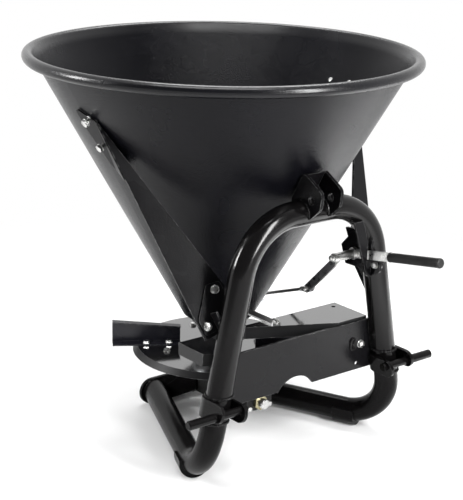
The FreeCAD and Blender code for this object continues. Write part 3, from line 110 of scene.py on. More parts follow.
paper, tree, output = new_material("white_paper")
paper_white = (floor_white, floor_white, floor_white, 1)
pure_white = (1, 1, 1, 1)
lit = tree.nodes.new("ShaderNodeBsdfDiffuse")
lit.inputs["Color"].default_value = paper_white
glow = tree.nodes.new("ShaderNodeEmission")
glow.inputs["Color"].default_value = pure_white
place = tree.nodes.new("ShaderNodeNewGeometry")
distance = tree.nodes.new("ShaderNodeVectorMath")
distance.operation = "LENGTH"
fade = tree.nodes.new("ShaderNodeMapRange")
fade.interpolation_type = "SMOOTHSTEP"
fade.inputs["From Min"].default_value = shadow_reach
fade.inputs["From Max"].default_value = fade_reach
share = tree.nodes.new("ShaderNodeMath")
share.operation = "MULTIPLY"
blend_paper = tree.nodes.new("ShaderNodeMixShader")
tree.links.new(place.outputs["Position"], distance.inputs[0])
tree.links.new(distance.outputs["Value"], fade.inputs["Value"])
tree.links.new(fade.outputs["Result"], share.inputs[0])
tree.links.new(seen_rays(tree), share.inputs[1])
tree.links.new(share.outputs[0], blend_paper.inputs["Fac"])
tree.links.new(lit.outputs["BSDF"], blend_paper.inputs[1])
tree.links.new(glow.outputs["Emission"], blend_paper.inputs[2])
tree.links.new(blend_paper.outputs["Shader"], output.inputs["Surface"])

floor_mesh = bpy.data.meshes.new("studio_floor")
floor_mesh.from_pydata(
    [
        (-floor_half, -floor_half, 0),
        (floor_half, -floor_half, 0),
        (floor_half, floor_half, 0),
        (-floor_half, floor_half, 0),
    ],
    [],
    [(0, 1, 2, 3)],
)
floor_mesh.materials.append(paper)
floor = bpy.data.objects.new("studio_floor", floor_mesh)
bpy.context.scene.collection.objects.link(floor)

world = bpy.data.worlds.new("studio_world")
world.use_nodes = True
bpy.context.scene.world = world
sky = world.node_tree
sky.nodes.clear()
sky_output = sky.nodes.new("ShaderNodeOutputWorld")
sky_glow = sky.nodes.new("ShaderNodeBackground")
sky_glow.inputs["Color"].default_value = pure_white
# The open side of the studio is dim, and polished faces mirror it.
room_level = 0.55
white_level = 1.0
dim_level = 0.12
dim_from = -0.10
dim_full = 0.40
near_way = Vector((math.sin(camera_azimuth), math.cos(camera_azimuth), 0))
sky_way = sky.nodes.new("ShaderNodeNewGeometry")
sky_toward = sky.nodes.new("ShaderNodeVectorMath")
sky_toward.operation = "DOT_PRODUCT"
sky_toward.inputs[1].default_value = near_way
sky.links.new(sky_way.outputs["Position"], sky_toward.inputs[0])
dim_side = sky.nodes.new("ShaderNodeMapRange")
dim_side.interpolation_type = "SMOOTHSTEP"
dim_side.inputs["From Min"].default_value = dim_from
dim_side.inputs["From Max"].default_value = dim_full
dim_side.inputs["To Min"].default_value = white_level
dim_side.inputs["To Max"].default_value = dim_level
sky.links.new(sky_toward.outputs["Value"], dim_side.inputs["Value"])
sky_path = sky.nodes.new("ShaderNodeLightPath")
mirrored_sky = sky.nodes.new("ShaderNodeMix")
seen_sky = sky.nodes.new("ShaderNodeMix")
mirrored_sky.inputs[2].default_value = room_level
seen_sky.inputs[3].default_value = white_level
mirror_share = sky.nodes.new("ShaderNodeMath")
mirror_share.operation = "MAXIMUM"
sky.links.new(sky_path.outputs["Is Glossy Ray"], mirror_share.inputs[0])
sky.links.new(sky_path.outputs["Is Transmission Ray"], mirror_share.inputs[1])
sky.links.new(mirror_share.outputs[0], mirrored_sky.inputs[0])
sky.links.new(dim_side.outputs["Result"], mirrored_sky.inputs[3])
sky.links.new(sky_path.outputs["Is Camera Ray"], seen_sky.inputs[0])
sky.links.new(mirrored_sky.outputs[0], seen_sky.inputs[2])
sky.links.new(seen_sky.outputs[0], sky_glow.inputs["Strength"])
sky.links.new(sky_glow.outputs["Background"], sky_output.inputs["Surface"])

soft_boxes = (
    # name, to the right, towards the camera, height, height aimed at, width, length, power
    ("light_left", -2.2, 0.38, 1.45, 0.8, 0.34, 1.0, 42),
    ("light_right", 1.50, 1.55, 1.35, 0.8, 0.40, 1.7, 74),
    ("light_top", -0.1, 0.75, 3.00, 0.8, 1.8, 0.7, 40),
    ("light_rear", 0.2, -1.60, 3.00, 0.8, 1.6, 0.9, 45),
    ("light_table", 1.25, -0.35, 0.012, 5.0, 1.3, 0.9, 7),
)
aim_forward = 0.05
for name, sideways, nearer, height, aim, width, tall, power in soft_boxes:
    lamp_data = bpy.data.lights.new(name, "AREA")
    lamp_data.shape = "RECTANGLE"
    lamp_data.size = width
    lamp_data.size_y = tall
    lamp_data.energy = power
    lamp = bpy.data.objects.new(name, lamp_data)
    foot = level_right * sideways + near_way * nearer
    lamp.location = foot + Vector((0, 0, height))
    aim_spot = Vector((0, aim_forward, aim)) if aim < height else foot + Vector((0, 0, aim))
    lamp.rotation_euler = (aim_spot - lamp.location).to_track_quat("-Z", "Y").to_euler()
    bpy.context.scene.collection.objects.link(lamp)

bpy.context.scene.view_settings.view_transform = "Standard"

# ---------------------------------------------------------------- hopper
# Spun steel cone with a rolled rim, finished in satin black powder coat inside and out.
# The coat has the fine orange peel of thick powder, and a few faint rubs on the rim; its edges are
# lightened, partly as wear and partly as painted highlights.


def group_socket(group, name, kind, way, value=None):
    """Adds one named socket to a node group."""
    socket = group.interface.new_socket(name=name, in_out=way, socket_type=kind)
    if value is not None:
        socket.default_value = value
    return socket


def noise_of(tree, point, scale, detail=2.0):
    """Value noise over the surface at a scale in repeats per metre."""
    noise = tree.nodes.new("ShaderNodeTexNoise")
    noise.inputs["Detail"].default_value = detail
    tree.links.new(point, noise.inputs["Vector"])
    if isinstance(scale, (int, float)):
        noise.inputs["Scale"].default_value = scale
    else:
        tree.links.new(scale, noise.inputs["Scale"])
    return noise.outputs["Fac"]


def ranged(tree, value, low, high, to_low=0.0, to_high=1.0):
    """A value moved from one range to another and held inside it."""
    span = tree.nodes.new("ShaderNodeMapRange")
    for socket, number in (("From Min", low), ("From Max", high), ("To Min", to_low), ("To Max", to_high)):
        if isinstance(number, (int, float)):
            span.inputs[socket].default_value = number
        else:
            tree.links.new(number, span.inputs[socket])
    tree.links.new(value, span.inputs["Value"])
    return span.outputs["Result"]


def product(tree, first, second):
    """Two values multiplied."""
    multiply = tree.nodes.new("ShaderNodeMath")
    multiply.operation = "MULTIPLY"
    for socket, value in zip(multiply.inputs, (first, second)):
        if isinstance(value, (int, float)):
            socket.default_value = value
        else:
            tree.links.new(value, socket)
    return multiply.outputs[0]


orange_peel = bpy.data.node_groups.new("orange_peel", "ShaderNodeTree")
group_socket(orange_peel, "Peel Scale", "NodeSocketFloat", "INPUT", 420.0)
group_socket(orange_peel, "Cloud Scale", "NodeSocketFloat", "INPUT", 7.0)
group_socket(orange_peel, "Height", "NodeSocketFloat", "OUTPUT")
group_socket(orange_peel, "Cloud", "NodeSocketFloat", "OUTPUT")
peel_in = orange_peel.nodes.new("NodeGroupInput")
peel_out = orange_peel.nodes.new("NodeGroupOutput")
peel_place = orange_peel.nodes.new("ShaderNodeTexCoord").outputs["Object"]
peel_fine = noise_of(orange_peel, peel_place, peel_in.outputs["Peel Scale"], 1.0)
orange_peel.links.new(ranged(orange_peel, peel_fine, 0.3, 0.7), peel_out.inputs["Height"])
peel_cloud = noise_of(orange_peel, peel_place, peel_in.outputs["Cloud Scale"], 3.0)
orange_peel.links.new(ranged(orange_peel, peel_cloud, 0.35, 0.65), peel_out.inputs["Cloud"])

# Mask of lighter edges: partly rubbed paint, partly a painted highlight where rounded edges would catch
# the lamps.
edge_rub_and_highlight = bpy.data.node_groups.new("edge_rub_and_highlight", "ShaderNodeTree")
group_socket(edge_rub_and_highlight, "Width", "NodeSocketFloat", "INPUT", 0.0012)
group_socket(edge_rub_and_highlight, "Speckle Scale", "NodeSocketFloat", "INPUT", 90.0)
group_socket(edge_rub_and_highlight, "Rub And Highlight", "NodeSocketFloat", "OUTPUT")
edge_marks_in = edge_rub_and_highlight.nodes.new("NodeGroupInput")
edge_marks_out = edge_rub_and_highlight.nodes.new("NodeGroupOutput")
edge_marks_round = edge_rub_and_highlight.nodes.new("ShaderNodeBevel")
edge_marks_round.samples = 4
edge_rub_and_highlight.links.new(edge_marks_in.outputs["Width"], edge_marks_round.inputs["Radius"])
edge_marks_flat = edge_rub_and_highlight.nodes.new("ShaderNodeNewGeometry").outputs["Normal"]
edge_marks_match = edge_rub_and_highlight.nodes.new("ShaderNodeVectorMath")
edge_marks_match.operation = "DOT_PRODUCT"
edge_rub_and_highlight.links.new(edge_marks_round.outputs["Normal"], edge_marks_match.inputs[0])
edge_rub_and_highlight.links.new(edge_marks_flat, edge_marks_match.inputs[1])
rub_highlight_edge = ranged(edge_rub_and_highlight, edge_marks_match.outputs["Value"], 0.995, 0.86)
edge_marks_place = edge_rub_and_highlight.nodes.new("ShaderNodeTexCoord").outputs["Object"]
edge_marks_speckle = noise_of(edge_rub_and_highlight, edge_marks_place, edge_marks_in.outputs["Speckle Scale"], 3.0)
edge_rub_and_highlight.links.new(
    product(edge_rub_and_highlight, rub_highlight_edge, ranged(edge_rub_and_highlight, edge_marks_speckle, 0.40, 0.62)), edge_marks_out.inputs["Rub And Highlight"]
)

settled_dust = bpy.data.node_groups.new("settled_dust", "ShaderNodeTree")
group_socket(settled_dust, "Amount", "NodeSocketFloat", "INPUT", 0.2)
group_socket(settled_dust, "Patch Scale", "NodeSocketFloat", "INPUT", 14.0)
group_socket(settled_dust, "Dust", "NodeSocketFloat", "OUTPUT")
dust_in = settled_dust.nodes.new("NodeGroupInput")
dust_out = settled_dust.nodes.new("NodeGroupOutput")
dust_facing = settled_dust.nodes.new("ShaderNodeSeparateXYZ")
settled_dust.links.new(
    settled_dust.nodes.new("ShaderNodeNewGeometry").outputs["Normal"], dust_facing.inputs[0]
)
dust_up = ranged(settled_dust, dust_facing.outputs["Z"], 0.35, 0.95)
dust_place = settled_dust.nodes.new("ShaderNodeTexCoord").outputs["Object"]
dust_patch = ranged(
    settled_dust, noise_of(settled_dust, dust_place, dust_in.outputs["Patch Scale"], 6.0), 0.42, 0.72
)
settled_dust.links.new(
    product(settled_dust, product(settled_dust, dust_up, dust_patch), dust_in.outputs["Amount"]),
    dust_out.inputs["Dust"],
)


def placed_group(tree, group, **values):
    """One use of a node group with its own input values."""
    node = tree.nodes.new("ShaderNodeGroup")
    node.node_tree = group
    for name, value in values.items():
        node.inputs[name.replace("_", " ")].default_value = value
    return node


def mixed_colour(tree, share, first, second):
    """One colour laid over another by a share that changes over the surface."""
    mix = tree.nodes.new("ShaderNodeMix")
    mix.data_type = "RGBA"
    colour_in = [socket for socket in mix.inputs if socket.type == "RGBA"]
    tree.links.new(share, mix.inputs["Factor"])
    for socket, colour in zip(colour_in, (first, second)):
        if isinstance(colour, tuple):
            socket.default_value = (*colour, 1)
        else:
            tree.links.new(colour, socket)
    return [socket for socket in mix.outputs if socket.type == "RGBA"][0]


def bumped(tree, height, depth, shader):
    """A relief of a given depth in metres on the shader's normal."""
    bump = tree.nodes.new("ShaderNodeBump")
    bump.inputs["Distance"].default_value = depth
    bump.inputs["Strength"].default_value = 1.0
    tree.links.new(height, bump.inputs["Height"])
    tree.links.new(bump.outputs["Normal"], shader.inputs["Normal"])


def coat_material(
    name,
    black,
    rub_and_highlight,
    smooth,
    dull,
    sheen,
    peel_depth,
    peel_scale=420.0,
    edge=0.0012,
    dust=0.15,
    clear=0.0,
    clear_index=1.5,
    clear_above=None,
    clear_rough=0.09,
):
    """Black paint on steel: clouds in its gloss, orange peel, edges lightened as rubbed paint and as
    painted highlights, and a trace of dust.

    A clear gloss lies on faces that look up, or above a height where one is given.
    """
    cloud_lift = 1.35
    level_face = (0.80, 0.97)
    side_dulling = 0.34
    material, tree, output = new_material(name)
    shader = tree.nodes.new("ShaderNodeBsdfPrincipled")
    shader.inputs["Specular IOR Level"].default_value = sheen
    shader.inputs["Coat Roughness"].default_value = clear_rough
    shader.inputs["Coat IOR"].default_value = clear_index
    peel = placed_group(tree, orange_peel, Peel_Scale=peel_scale)
    edge_marks = placed_group(tree, edge_rub_and_highlight, Width=edge)
    dusty = placed_group(tree, settled_dust, Amount=dust)
    paint = mixed_colour(tree, peel.outputs["Cloud"], black, tuple(cloud_lift * part for part in black))
    # Edges lightened towards a paler tone: partly wear, partly a painted highlight.
    paint = mixed_colour(tree, edge_marks.outputs["Rub And Highlight"], paint, rub_and_highlight)
    paint = mixed_colour(tree, dusty.outputs["Dust"], paint, dust_tone)
    tree.links.new(paint, shader.inputs["Base Color"])
    rough = ranged(tree, peel.outputs["Cloud"], 0.0, 1.0, smooth, dull)
    if clear:
        upright = tree.nodes.new("ShaderNodeSeparateXYZ")
        if clear_above:
            measured = tree.nodes.new("ShaderNodeTexCoord").outputs["Object"]
            low, high = clear_above
        else:
            measured = tree.nodes.new("ShaderNodeNewGeometry").outputs["Normal"]
            low, high = level_face
            side_rough = ranged(tree, upright.outputs["Z"], low, high, side_dulling, 0.0)
            total = tree.nodes.new("ShaderNodeMath")
            total.operation = "ADD"
            tree.links.new(rough, total.inputs[0])
            tree.links.new(side_rough, total.inputs[1])
            rough = total.outputs[0]
        tree.links.new(measured, upright.inputs["Vector"])
        glossy = ranged(tree, upright.outputs["Z"], low, high, 0.0, clear)
        tree.links.new(glossy, shader.inputs["Coat Weight"])
    tree.links.new(rough, shader.inputs["Roughness"])
    bumped(tree, peel.outputs["Height"], peel_depth, shader)
    tree.links.new(shader.outputs["BSDF"], output.inputs["Surface"])
    return material


def finish_node(node, material, round_edges=0.0):
    """Gives a CAD node its material and, where asked, slightly rounded edges."""
    round_from = math.radians(40)
    piece = frame["nodes"][node]
    piece.data.materials.clear()
    piece.data.materials.append(material)
    if round_edges:
        soften = piece.modifiers.new("soft_edges", "BEVEL")
        soften.width = round_edges
        soften.segments = 2
        soften.limit_method = "ANGLE"
        soften.angle_limit = round_from
        soften.harden_normals = True


dust_tone = (0.16, 0.15, 0.14)
hopper_coat = coat_material(
    "hopper_coat",
    black=(0.0024, 0.0024, 0.0034),
    rub_and_highlight=(0.05, 0.05, 0.052),
    smooth=0.20,
    dull=0.28,
    sheen=0.115,
    peel_depth=0.00032,
    peel_scale=330.0,
    dust=0.02,
    clear=0.50,
    clear_above=(0.930, 0.944),
    clear_rough=0.24,
)
finish_node("hopper", hopper_coat)
finish_node("outlet_plate", hopper_coat, round_edges=0.0006)

# ---------------------------------------------------------------- bent tube frame
# One steel pipe bent into a hoop with two feet, with a cross plate welded on behind.
# Semi-gloss black powder coat, duller near the floor.
frame_coat = coat_material(
    "frame_coat",
    black=(0.0026, 0.0024, 0.0025),
    rub_and_highlight=(0.06, 0.06, 0.062),
    smooth=0.14,
    dull=0.22,
    sheen=0.08,
    peel_depth=0.00016,
    peel_scale=260.0,
    dust=0.01,
    clear=0.40,
    clear_above=(0.15, 0.40),
    clear_rough=0.12,
)
for node in ("frame_hoop", "rear_cross_plate", "gearbox_strut_left", "gearbox_strut_right"):
    finish_node(node, frame_coat, round_edges=0.0008)
for node in ("hitch_strap_left", "hitch_strap_right", "skid_foot_left", "skid_foot_right"):
    finish_node(node, frame_coat, round_edges=0.0010)


def add_piece(name, body, mesh, material):
    """Puts a finished mesh in the scene on the part of the machine that carries it."""
    sharp_from = math.radians(38)
    for face in mesh.faces:
        face.smooth = True
    data = bpy.data.meshes.new(name)
    mesh.to_mesh(data)
    mesh.free()
    data.materials.append(material)
    data.set_sharp_from_angle(angle=sharp_from)
    piece = bpy.data.objects.new(name, data)
    bpy.context.scene.collection.objects.link(piece)
    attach(piece, body)
    return piece


def swept_rings(mesh, rings):
    """Joins rings of points with quads and closes the ends."""
    rows = [[mesh.verts.new(point) for point in ring] for ring in rings]
    count = len(rows[0])
    for first_row, next_row in zip(rows, rows[1:]):
        for index in range(count):
            following = (index + 1) % count
            corners = (first_row[index], first_row[following], next_row[following], next_row[index])
            mesh.faces.new(corners)
    mesh.faces.new(rows[0][::-1])
    mesh.faces.new(rows[-1])


def weld_bead(mesh, path, radius=0.0032, ripple=0.0035):
    """A weld seam: overlapping drops laid along a path."""
    sides = 8
    thinnest = 0.82
    drop_swell = 0.26
    hand_swell = 0.08
    hand_rate = 610.0
    steps = []
    for start, end in zip(path, path[1:]):
        length = (end - start).length
        pieces = max(1, round(length / (ripple / 4)))
        for part in range(pieces):
            steps.append(start.lerp(end, part / pieces))
    steps.append(path[-1])
    rings = []
    travelled = 0.0
    for index, point in enumerate(steps):
        before = steps[max(index - 1, 0)]
        after = steps[min(index + 1, len(steps) - 1)]
        along = (after - before).normalized()
        side = along.orthogonal().normalized()
        other = along.cross(side)
        drop = abs(math.sin(math.pi * travelled / ripple))
        swell = radius * (thinnest + drop_swell * drop + hand_swell * math.sin(travelled * hand_rate))
        travelled += (after - point).length
        ring = []
        for corner in range(sides):
            turn_angle = math.tau * corner / sides
            ring.append(point + (side * math.cos(turn_angle) + other * math.sin(turn_angle)) * swell)
        rings.append(ring)
    swept_rings(mesh, rings)


def arc_path(centre, first, second, radius, start, end, steps=18):
    """Points of an arc around a centre, from the first axis towards the second, in degrees."""
    points = []
    for step in range(steps + 1):
        turn_angle = math.radians(start + (end - start) * step / steps)
        points.append(centre + (first * math.cos(turn_angle) + second * math.sin(turn_angle)) * radius)
    return points


def nominal(value):
    """A measure of the frame to a tenth of a millimetre, because facets cut round faces short."""
    return round(value, 4)


side_axis = Vector((1, 0, 0))
forward_axis = Vector((0, 1, 0))
up_axis = Vector((0, 0, 1))
hoop_low, hoop_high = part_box("frame_hoop")
tube_radius = 0.03015
tube_level = nominal(hoop_low.z) + tube_radius
tail_side = 0.080
tail_proud = 0.001
tail_arc = (-62, 242)

seam = bmesh.new()
for hand in (1, -1):
    tail_centre = Vector((hand * tail_side, nominal(hoop_low.y) + tail_proud, tube_level))
    tail_round = tube_radius + tail_proud
    weld_bead(seam, arc_path(tail_centre, side_axis, up_axis, tail_round, *tail_arc, 40))
add_piece("tail_welds", "stand", seam, frame_coat)

# ---------------------------------------------------------------- sheet metal
# Arms, brackets, apron and clevis: laser-cut plate, folded, bolted or welded, in satin black
# paint. The vanes are folded from thinner sheet, a shade lighter. The lower pins are turned
# steel, painted with the frame.
sheet_coat = coat_material(
    "sheet_coat",
    black=(0.0034, 0.0033, 0.0038),
    rub_and_highlight=(0.20, 0.20, 0.20),
    smooth=0.20,
    dull=0.30,
    sheen=0.16,
    peel_depth=0.00008,
    peel_scale=300.0,
    dust=0.03,
)
for node in ("apron", "lever_bracket"):
    finish_node(node, sheet_coat, round_edges=0.0006)
arm_coat = coat_material(
    "arm_coat",
    black=(0.0034, 0.0033, 0.0038),
    rub_and_highlight=(0.24, 0.24, 0.24),
    smooth=0.24,
    dull=0.34,
    sheen=0.06,
    peel_depth=0.00008,
    peel_scale=300.0,
    dust=0.02,
)
for node in ("arm_bracket_left", "arm_bracket_right", "support_arm_left", "support_arm_right"):
    finish_node(node, arm_coat, round_edges=0.0006)
finish_node("top_link_clevis", sheet_coat, round_edges=0.0009)
vane_coat = coat_material(
    "vane_coat",
    black=(0.010, 0.010, 0.014),
    rub_and_highlight=(0.22, 0.22, 0.22),
    smooth=0.24,
    dull=0.34,
    sheen=0.30,
    peel_depth=0.00008,
    peel_scale=300.0,
    dust=0.03,
)
for node in ("vane_1", "vane_2", "vane_3", "vane_4"):
    finish_node(node, vane_coat, round_edges=0.0006)
for node in ("lower_pin_left", "lower_pin_right"):
    finish_node(node, frame_coat, round_edges=0.0008)

# ---------------------------------------------------------------- deck and disc
# The folded deck behind the apron and the flat spreading disc, both cut from steel sheet.
# Gloss black paint, as smooth as a dark mirror at a low angle.
gloss_coat = coat_material(
    "gloss_coat",
    black=(0.0045, 0.0045, 0.0050),
    rub_and_highlight=(0.30, 0.30, 0.30),
    smooth=0.10,
    dull=0.18,
    sheen=0.30,
    peel_depth=0.00002,
    peel_scale=160.0,
    dust=0.05,
    clear=1.0,
    clear_index=2.1,
)
finish_node("spray_deck", gloss_coat, round_edges=0.0005)
finish_node("spreading_disc", gloss_coat)

# ---------------------------------------------------------------- zinc and steel
# Turned and stamped steel with bright zinc plate, a little cloudy: lever, shaft, rod and strap.
# The shutter and the disc's hub are galvanised, and the crank plate of the lever is dark.
zinc_mottle = bpy.data.node_groups.new("zinc_mottle", "ShaderNodeTree")
group_socket(zinc_mottle, "Grain Scale", "NodeSocketFloat", "INPUT", 260.0)
group_socket(zinc_mottle, "Tone", "NodeSocketFloat", "OUTPUT")
group_socket(zinc_mottle, "Haze", "NodeSocketFloat", "OUTPUT")
mottle_in = zinc_mottle.nodes.new("NodeGroupInput")
mottle_out = zinc_mottle.nodes.new("NodeGroupOutput")
mottle_place = zinc_mottle.nodes.new("ShaderNodeTexCoord").outputs["Object"]
mottle_cells = zinc_mottle.nodes.new("ShaderNodeTexVoronoi")
zinc_mottle.links.new(mottle_place, mottle_cells.inputs["Vector"])
zinc_mottle.links.new(mottle_in.outputs["Grain Scale"], mottle_cells.inputs["Scale"])
mottle_shade = zinc_mottle.nodes.new("ShaderNodeSeparateColor")
zinc_mottle.links.new(mottle_cells.outputs["Color"], mottle_shade.inputs[0])
zinc_mottle.links.new(mottle_shade.outputs[0], mottle_out.inputs["Tone"])
haze_scale = 60.0
mottle_haze = noise_of(zinc_mottle, mottle_place, haze_scale, 4.0)
zinc_mottle.links.new(ranged(zinc_mottle, mottle_haze, 0.3, 0.7), mottle_out.inputs["Haze"])


def metal_material(name, bright, dark, smooth, dull, grain=260.0, scratch_depth=0.00003):
    """Plated or bare metal with cloudy grains and haze in its gloss."""
    material, tree, output = new_material(name)
    shader = tree.nodes.new("ShaderNodeBsdfPrincipled")
    shader.inputs["Metallic"].default_value = 1.0
    mottle = placed_group(tree, zinc_mottle, Grain_Scale=grain)
    peel = placed_group(tree, orange_peel, Peel_Scale=900.0, Cloud_Scale=40.0)
    grain_share = 0.45
    haze_share = 0.5
    haze = mottle.outputs["Haze"]
    grains = ranged(tree, mottle.outputs["Tone"], 0.0, 1.0, 0.0, grain_share)
    tone = mixed_colour(tree, grains, bright, dark)
    tone = mixed_colour(tree, ranged(tree, haze, 0.0, 1.0, 0.0, haze_share), tone, dark)
    tree.links.new(tone, shader.inputs["Base Color"])
    tree.links.new(ranged(tree, haze, 0.0, 1.0, smooth, dull), shader.inputs["Roughness"])
    bumped(tree, peel.outputs["Height"], scratch_depth, shader)
    tree.links.new(shader.outputs["BSDF"], output.inputs["Surface"])
    return material


plate_bright = (0.72, 0.72, 0.71)
plate_dark = (0.40, 0.40, 0.39)
zinc = metal_material("zinc_plate", plate_bright, plate_dark, 0.20, 0.42)
dull_zinc = metal_material("dull_zinc", (0.40, 0.40, 0.40), (0.20, 0.20, 0.20), 0.28, 0.5)
galvanised = metal_material("galvanised", (0.60, 0.61, 0.62), (0.38, 0.39, 0.40), 0.25, 0.45, grain=90.0)
yellow_zinc = metal_material("yellow_zinc", (0.50, 0.46, 0.30), (0.26, 0.23, 0.13), 0.22, 0.45)
finish_node("tongue_strap", dull_zinc, round_edges=0.0005)
for node in ("shutter", "disc_hub"):
    finish_node(node, galvanised, round_edges=0.0005)
crank_inner = -0.1235
crank_outer = -0.1150
crank_fade = 0.0004
crank_front = 0.300
crank_front_fade = 0.003
crank_tone = (0.11, 0.11, 0.115)
lever_zinc = metal_material("lever_zinc", plate_bright, plate_dark, 0.20, 0.42)
tree = lever_zinc.node_tree
shader = next(node for node in tree.nodes if node.type == "BSDF_PRINCIPLED")
spot = tree.nodes.new("ShaderNodeSeparateXYZ")
tree.links.new(tree.nodes.new("ShaderNodeTexCoord").outputs["Object"], spot.inputs[0])
on_crank = product(
    tree,
    product(
        tree,
        ranged(tree, spot.outputs["X"], crank_inner - crank_fade, crank_inner),
        ranged(tree, spot.outputs["X"], crank_outer + crank_fade, crank_outer),
    ),
    ranged(tree, spot.outputs["Y"], crank_front + crank_front_fade, crank_front),
)
plated = shader.inputs["Base Color"].links[0].from_socket
tree.links.new(mixed_colour(tree, on_crank, plated, crank_tone), shader.inputs["Base Color"])
finish_node("lever", lever_zinc, round_edges=0.0005)
finish_node("control_rod", dull_zinc)
finish_node("spindle_and_fingers", dull_zinc, round_edges=0.0005)
finish_node("input_shaft", zinc, round_edges=0.0005)

# ---------------------------------------------------------------- gearbox
# Cast-iron housing, sprayed black over the rough skin of the casting.
# Two struts hold it to the rear cross plate.
casting = coat_material(
    "painted_casting",
    black=(0.003, 0.003, 0.003),
    rub_and_highlight=(0.05, 0.05, 0.05),
    smooth=0.40,
    dull=0.58,
    sheen=0.30,
    peel_depth=0.0006,
    peel_scale=190.0,
    edge=0.002,
    dust=0.2,
)
finish_node("gearbox_housing", casting, round_edges=0.0025)

# ---------------------------------------------------------------- bolts of the arms
# Cold-headed M10 hexagon bolts with washers and nuts, bright zinc.
# Two hold each arm to its bracket on the leg, and two hold its tab to the hopper's wall.
bolt_radius = 0.0050
bolt_flats = 0.0168
head_high = 0.0066
nut_high = 0.0082
washer_radius = 0.0102
washer_high = 0.0018
thread_pitch = 0.0015
thread_radius = bolt_radius * 0.98


def axis_frame(axis):
    """Two directions square to an axis."""
    first = axis.orthogonal().normalized()
    return first, axis.cross(first)


def turned_rings(mesh, place, axis, profile, around=20):
    """A turned solid: pairs of height along the axis and radius."""
    first, second = axis_frame(axis)
    rings = []
    for height, radius in profile:
        ring = []
        for corner in range(around):
            turn_angle = math.tau * corner / around
            out = first * math.cos(turn_angle) + second * math.sin(turn_angle)
            ring.append(place + axis * height + out * radius)
        rings.append(ring)
    swept_rings(mesh, rings)


def hexagon(mesh, place, axis, flats, height, twist=0.0, both_ends=False):
    """A hexagon head or nut with the cone-cut corners of a forged one."""
    first, second = axis_frame(axis)
    per_side = 4
    chamfer = 0.55
    face_radius = flats / 2 * 0.94
    rings = [[], [], [], []]
    for corner in range(6 * per_side):
        turn_angle = math.tau * corner / (6 * per_side)
        from_middle = math.radians(60) * ((corner / per_side) % 1.0) - math.radians(30)
        radius = flats / 2 / math.cos(from_middle)
        drop = (radius - face_radius) * chamfer
        out = first * math.cos(turn_angle + twist) + second * math.sin(turn_angle + twist)
        low = drop if both_ends else 0.0
        rings[0].append(place + out * (face_radius if both_ends else radius))
        rings[1].append(place + out * radius + axis * low)
        rings[2].append(place + out * radius + axis * (height - drop))
        rings[3].append(place + out * face_radius + axis * height)
    if not both_ends:
        rings = rings[1:]
    swept_rings(mesh, rings)


def thread_profile(start, end, radius, pitch=thread_pitch):
    """Ridges of a thread between two heights, with a small lead at its end."""
    root_radius = radius * 0.88
    lead_radius = radius * 0.82
    profile = [(start, radius)]
    height = start
    while height + pitch < end:
        profile.append((height + pitch * 0.5, root_radius))
        profile.append((height + pitch, radius))
        height += pitch
    profile.append((end, lead_radius))
    return profile


def through_bolt(mesh, place, axis, grip, twist=0.0, spare=0.006):
    """Head and washer on a face, shank through the plates, washer, nut and thread end behind."""
    rounding = 0.0003
    washer = [
        (0, washer_radius * 0.97),
        (rounding, washer_radius),
        (washer_high - rounding, washer_radius),
        (washer_high, washer_radius * 0.96),
    ]
    turned_rings(mesh, place, axis, washer, 28)
    hexagon(mesh, place + axis * washer_high, axis, bolt_flats, head_high, twist)
    turned_rings(mesh, place, -axis, [(-washer_high, bolt_radius), (grip + washer_high, bolt_radius)], 16)
    turned_rings(mesh, place - axis * grip, -axis, washer, 28)
    nut_foot = grip + washer_high
    hexagon(mesh, place - axis * nut_foot, -axis, bolt_flats, nut_high, twist + 0.4, both_ends=True)
    nut_face = nut_foot + nut_high
    thread = thread_profile(nut_face - 0.0005, nut_face + spare, thread_radius)
    turned_rings(mesh, place, -axis, thread, 16)


web_top = Vector((0.3979, 0.046, 0.836))
web_low = Vector((0.263, 0.310, 0.330))
web_heel = Vector((0.203, 0.264, 0.481))
web_along = (web_low - web_top).normalized()
web_face = web_along.cross(web_heel - web_top).normalized()
web_across = web_face.cross(web_along)
flange_face = 0.0075
web_back = -0.0025
# Each bolt's place along and across the arm, and the turn of its hexagon.
leg_bolt_spots = ((0.4572, 0.0724, 0.2), (0.5252, 0.0184, 0.7))
tab_origin = Vector((0.4092, 0.0179, 0.8346))
tab_face = Vector((0.871, 0.038, -0.490)).normalized()
tab_down = Vector((-0.490, -0.021, -0.872)).normalized()
tab_side = tab_face.cross(tab_down)
tab_bolt_spots = ((0.0008, 0.0066, 0.1), (0.0706, 0.0144, 0.5))
tab_outside = 0.0025
tab_grip = 0.0088
for hand, side_name in ((1, "right"), (-1, "left")):
    flip = Matrix.Scale(hand, 4, side_axis)
    bolts = bmesh.new()
    for along, across, twist in leg_bolt_spots:
        spot = web_top + web_along * along + web_across * across + web_face * flange_face
        through_bolt(bolts, spot, web_face, flange_face - web_back, twist)
    for down, aside, twist in tab_bolt_spots:
        spot = tab_origin + tab_down * down + tab_side * aside + tab_face * tab_outside
        through_bolt(bolts, spot, tab_face, tab_grip, twist, spare=0.004)
    bolts.transform(flip)
    if hand < 0:
        bmesh.ops.reverse_faces(bolts, faces=bolts.faces)
    add_piece("arm_bolts_" + side_name, "stand", bolts, zinc)

# ---------------------------------------------------------------- lever grip
# Soft rubber sleeve pushed over the end of the lever bar: thicker at its mouth and at its
# rounded end, with fine rings for the hand. It takes the place of the plain grip of the CAD.
rubber, tree, output = new_material("grip_rubber")
shader = tree.nodes.new("ShaderNodeBsdfPrincipled")
shader.inputs["Specular IOR Level"].default_value = 0.3
peel = placed_group(tree, orange_peel, Peel_Scale=700.0, Cloud_Scale=30.0)
tree.links.new(
    mixed_colour(tree, peel.outputs["Cloud"], (0.010, 0.010, 0.010), (0.020, 0.020, 0.020)),
    shader.inputs["Base Color"],
)
tree.links.new(ranged(tree, peel.outputs["Cloud"], 0.0, 1.0, 0.5, 0.7), shader.inputs["Roughness"])
bumped(tree, peel.outputs["Height"], 0.0001, shader)
tree.links.new(shader.outputs["BSDF"], output.inputs["Surface"])
finish_node("lever_grip", rubber, round_edges=0.001)

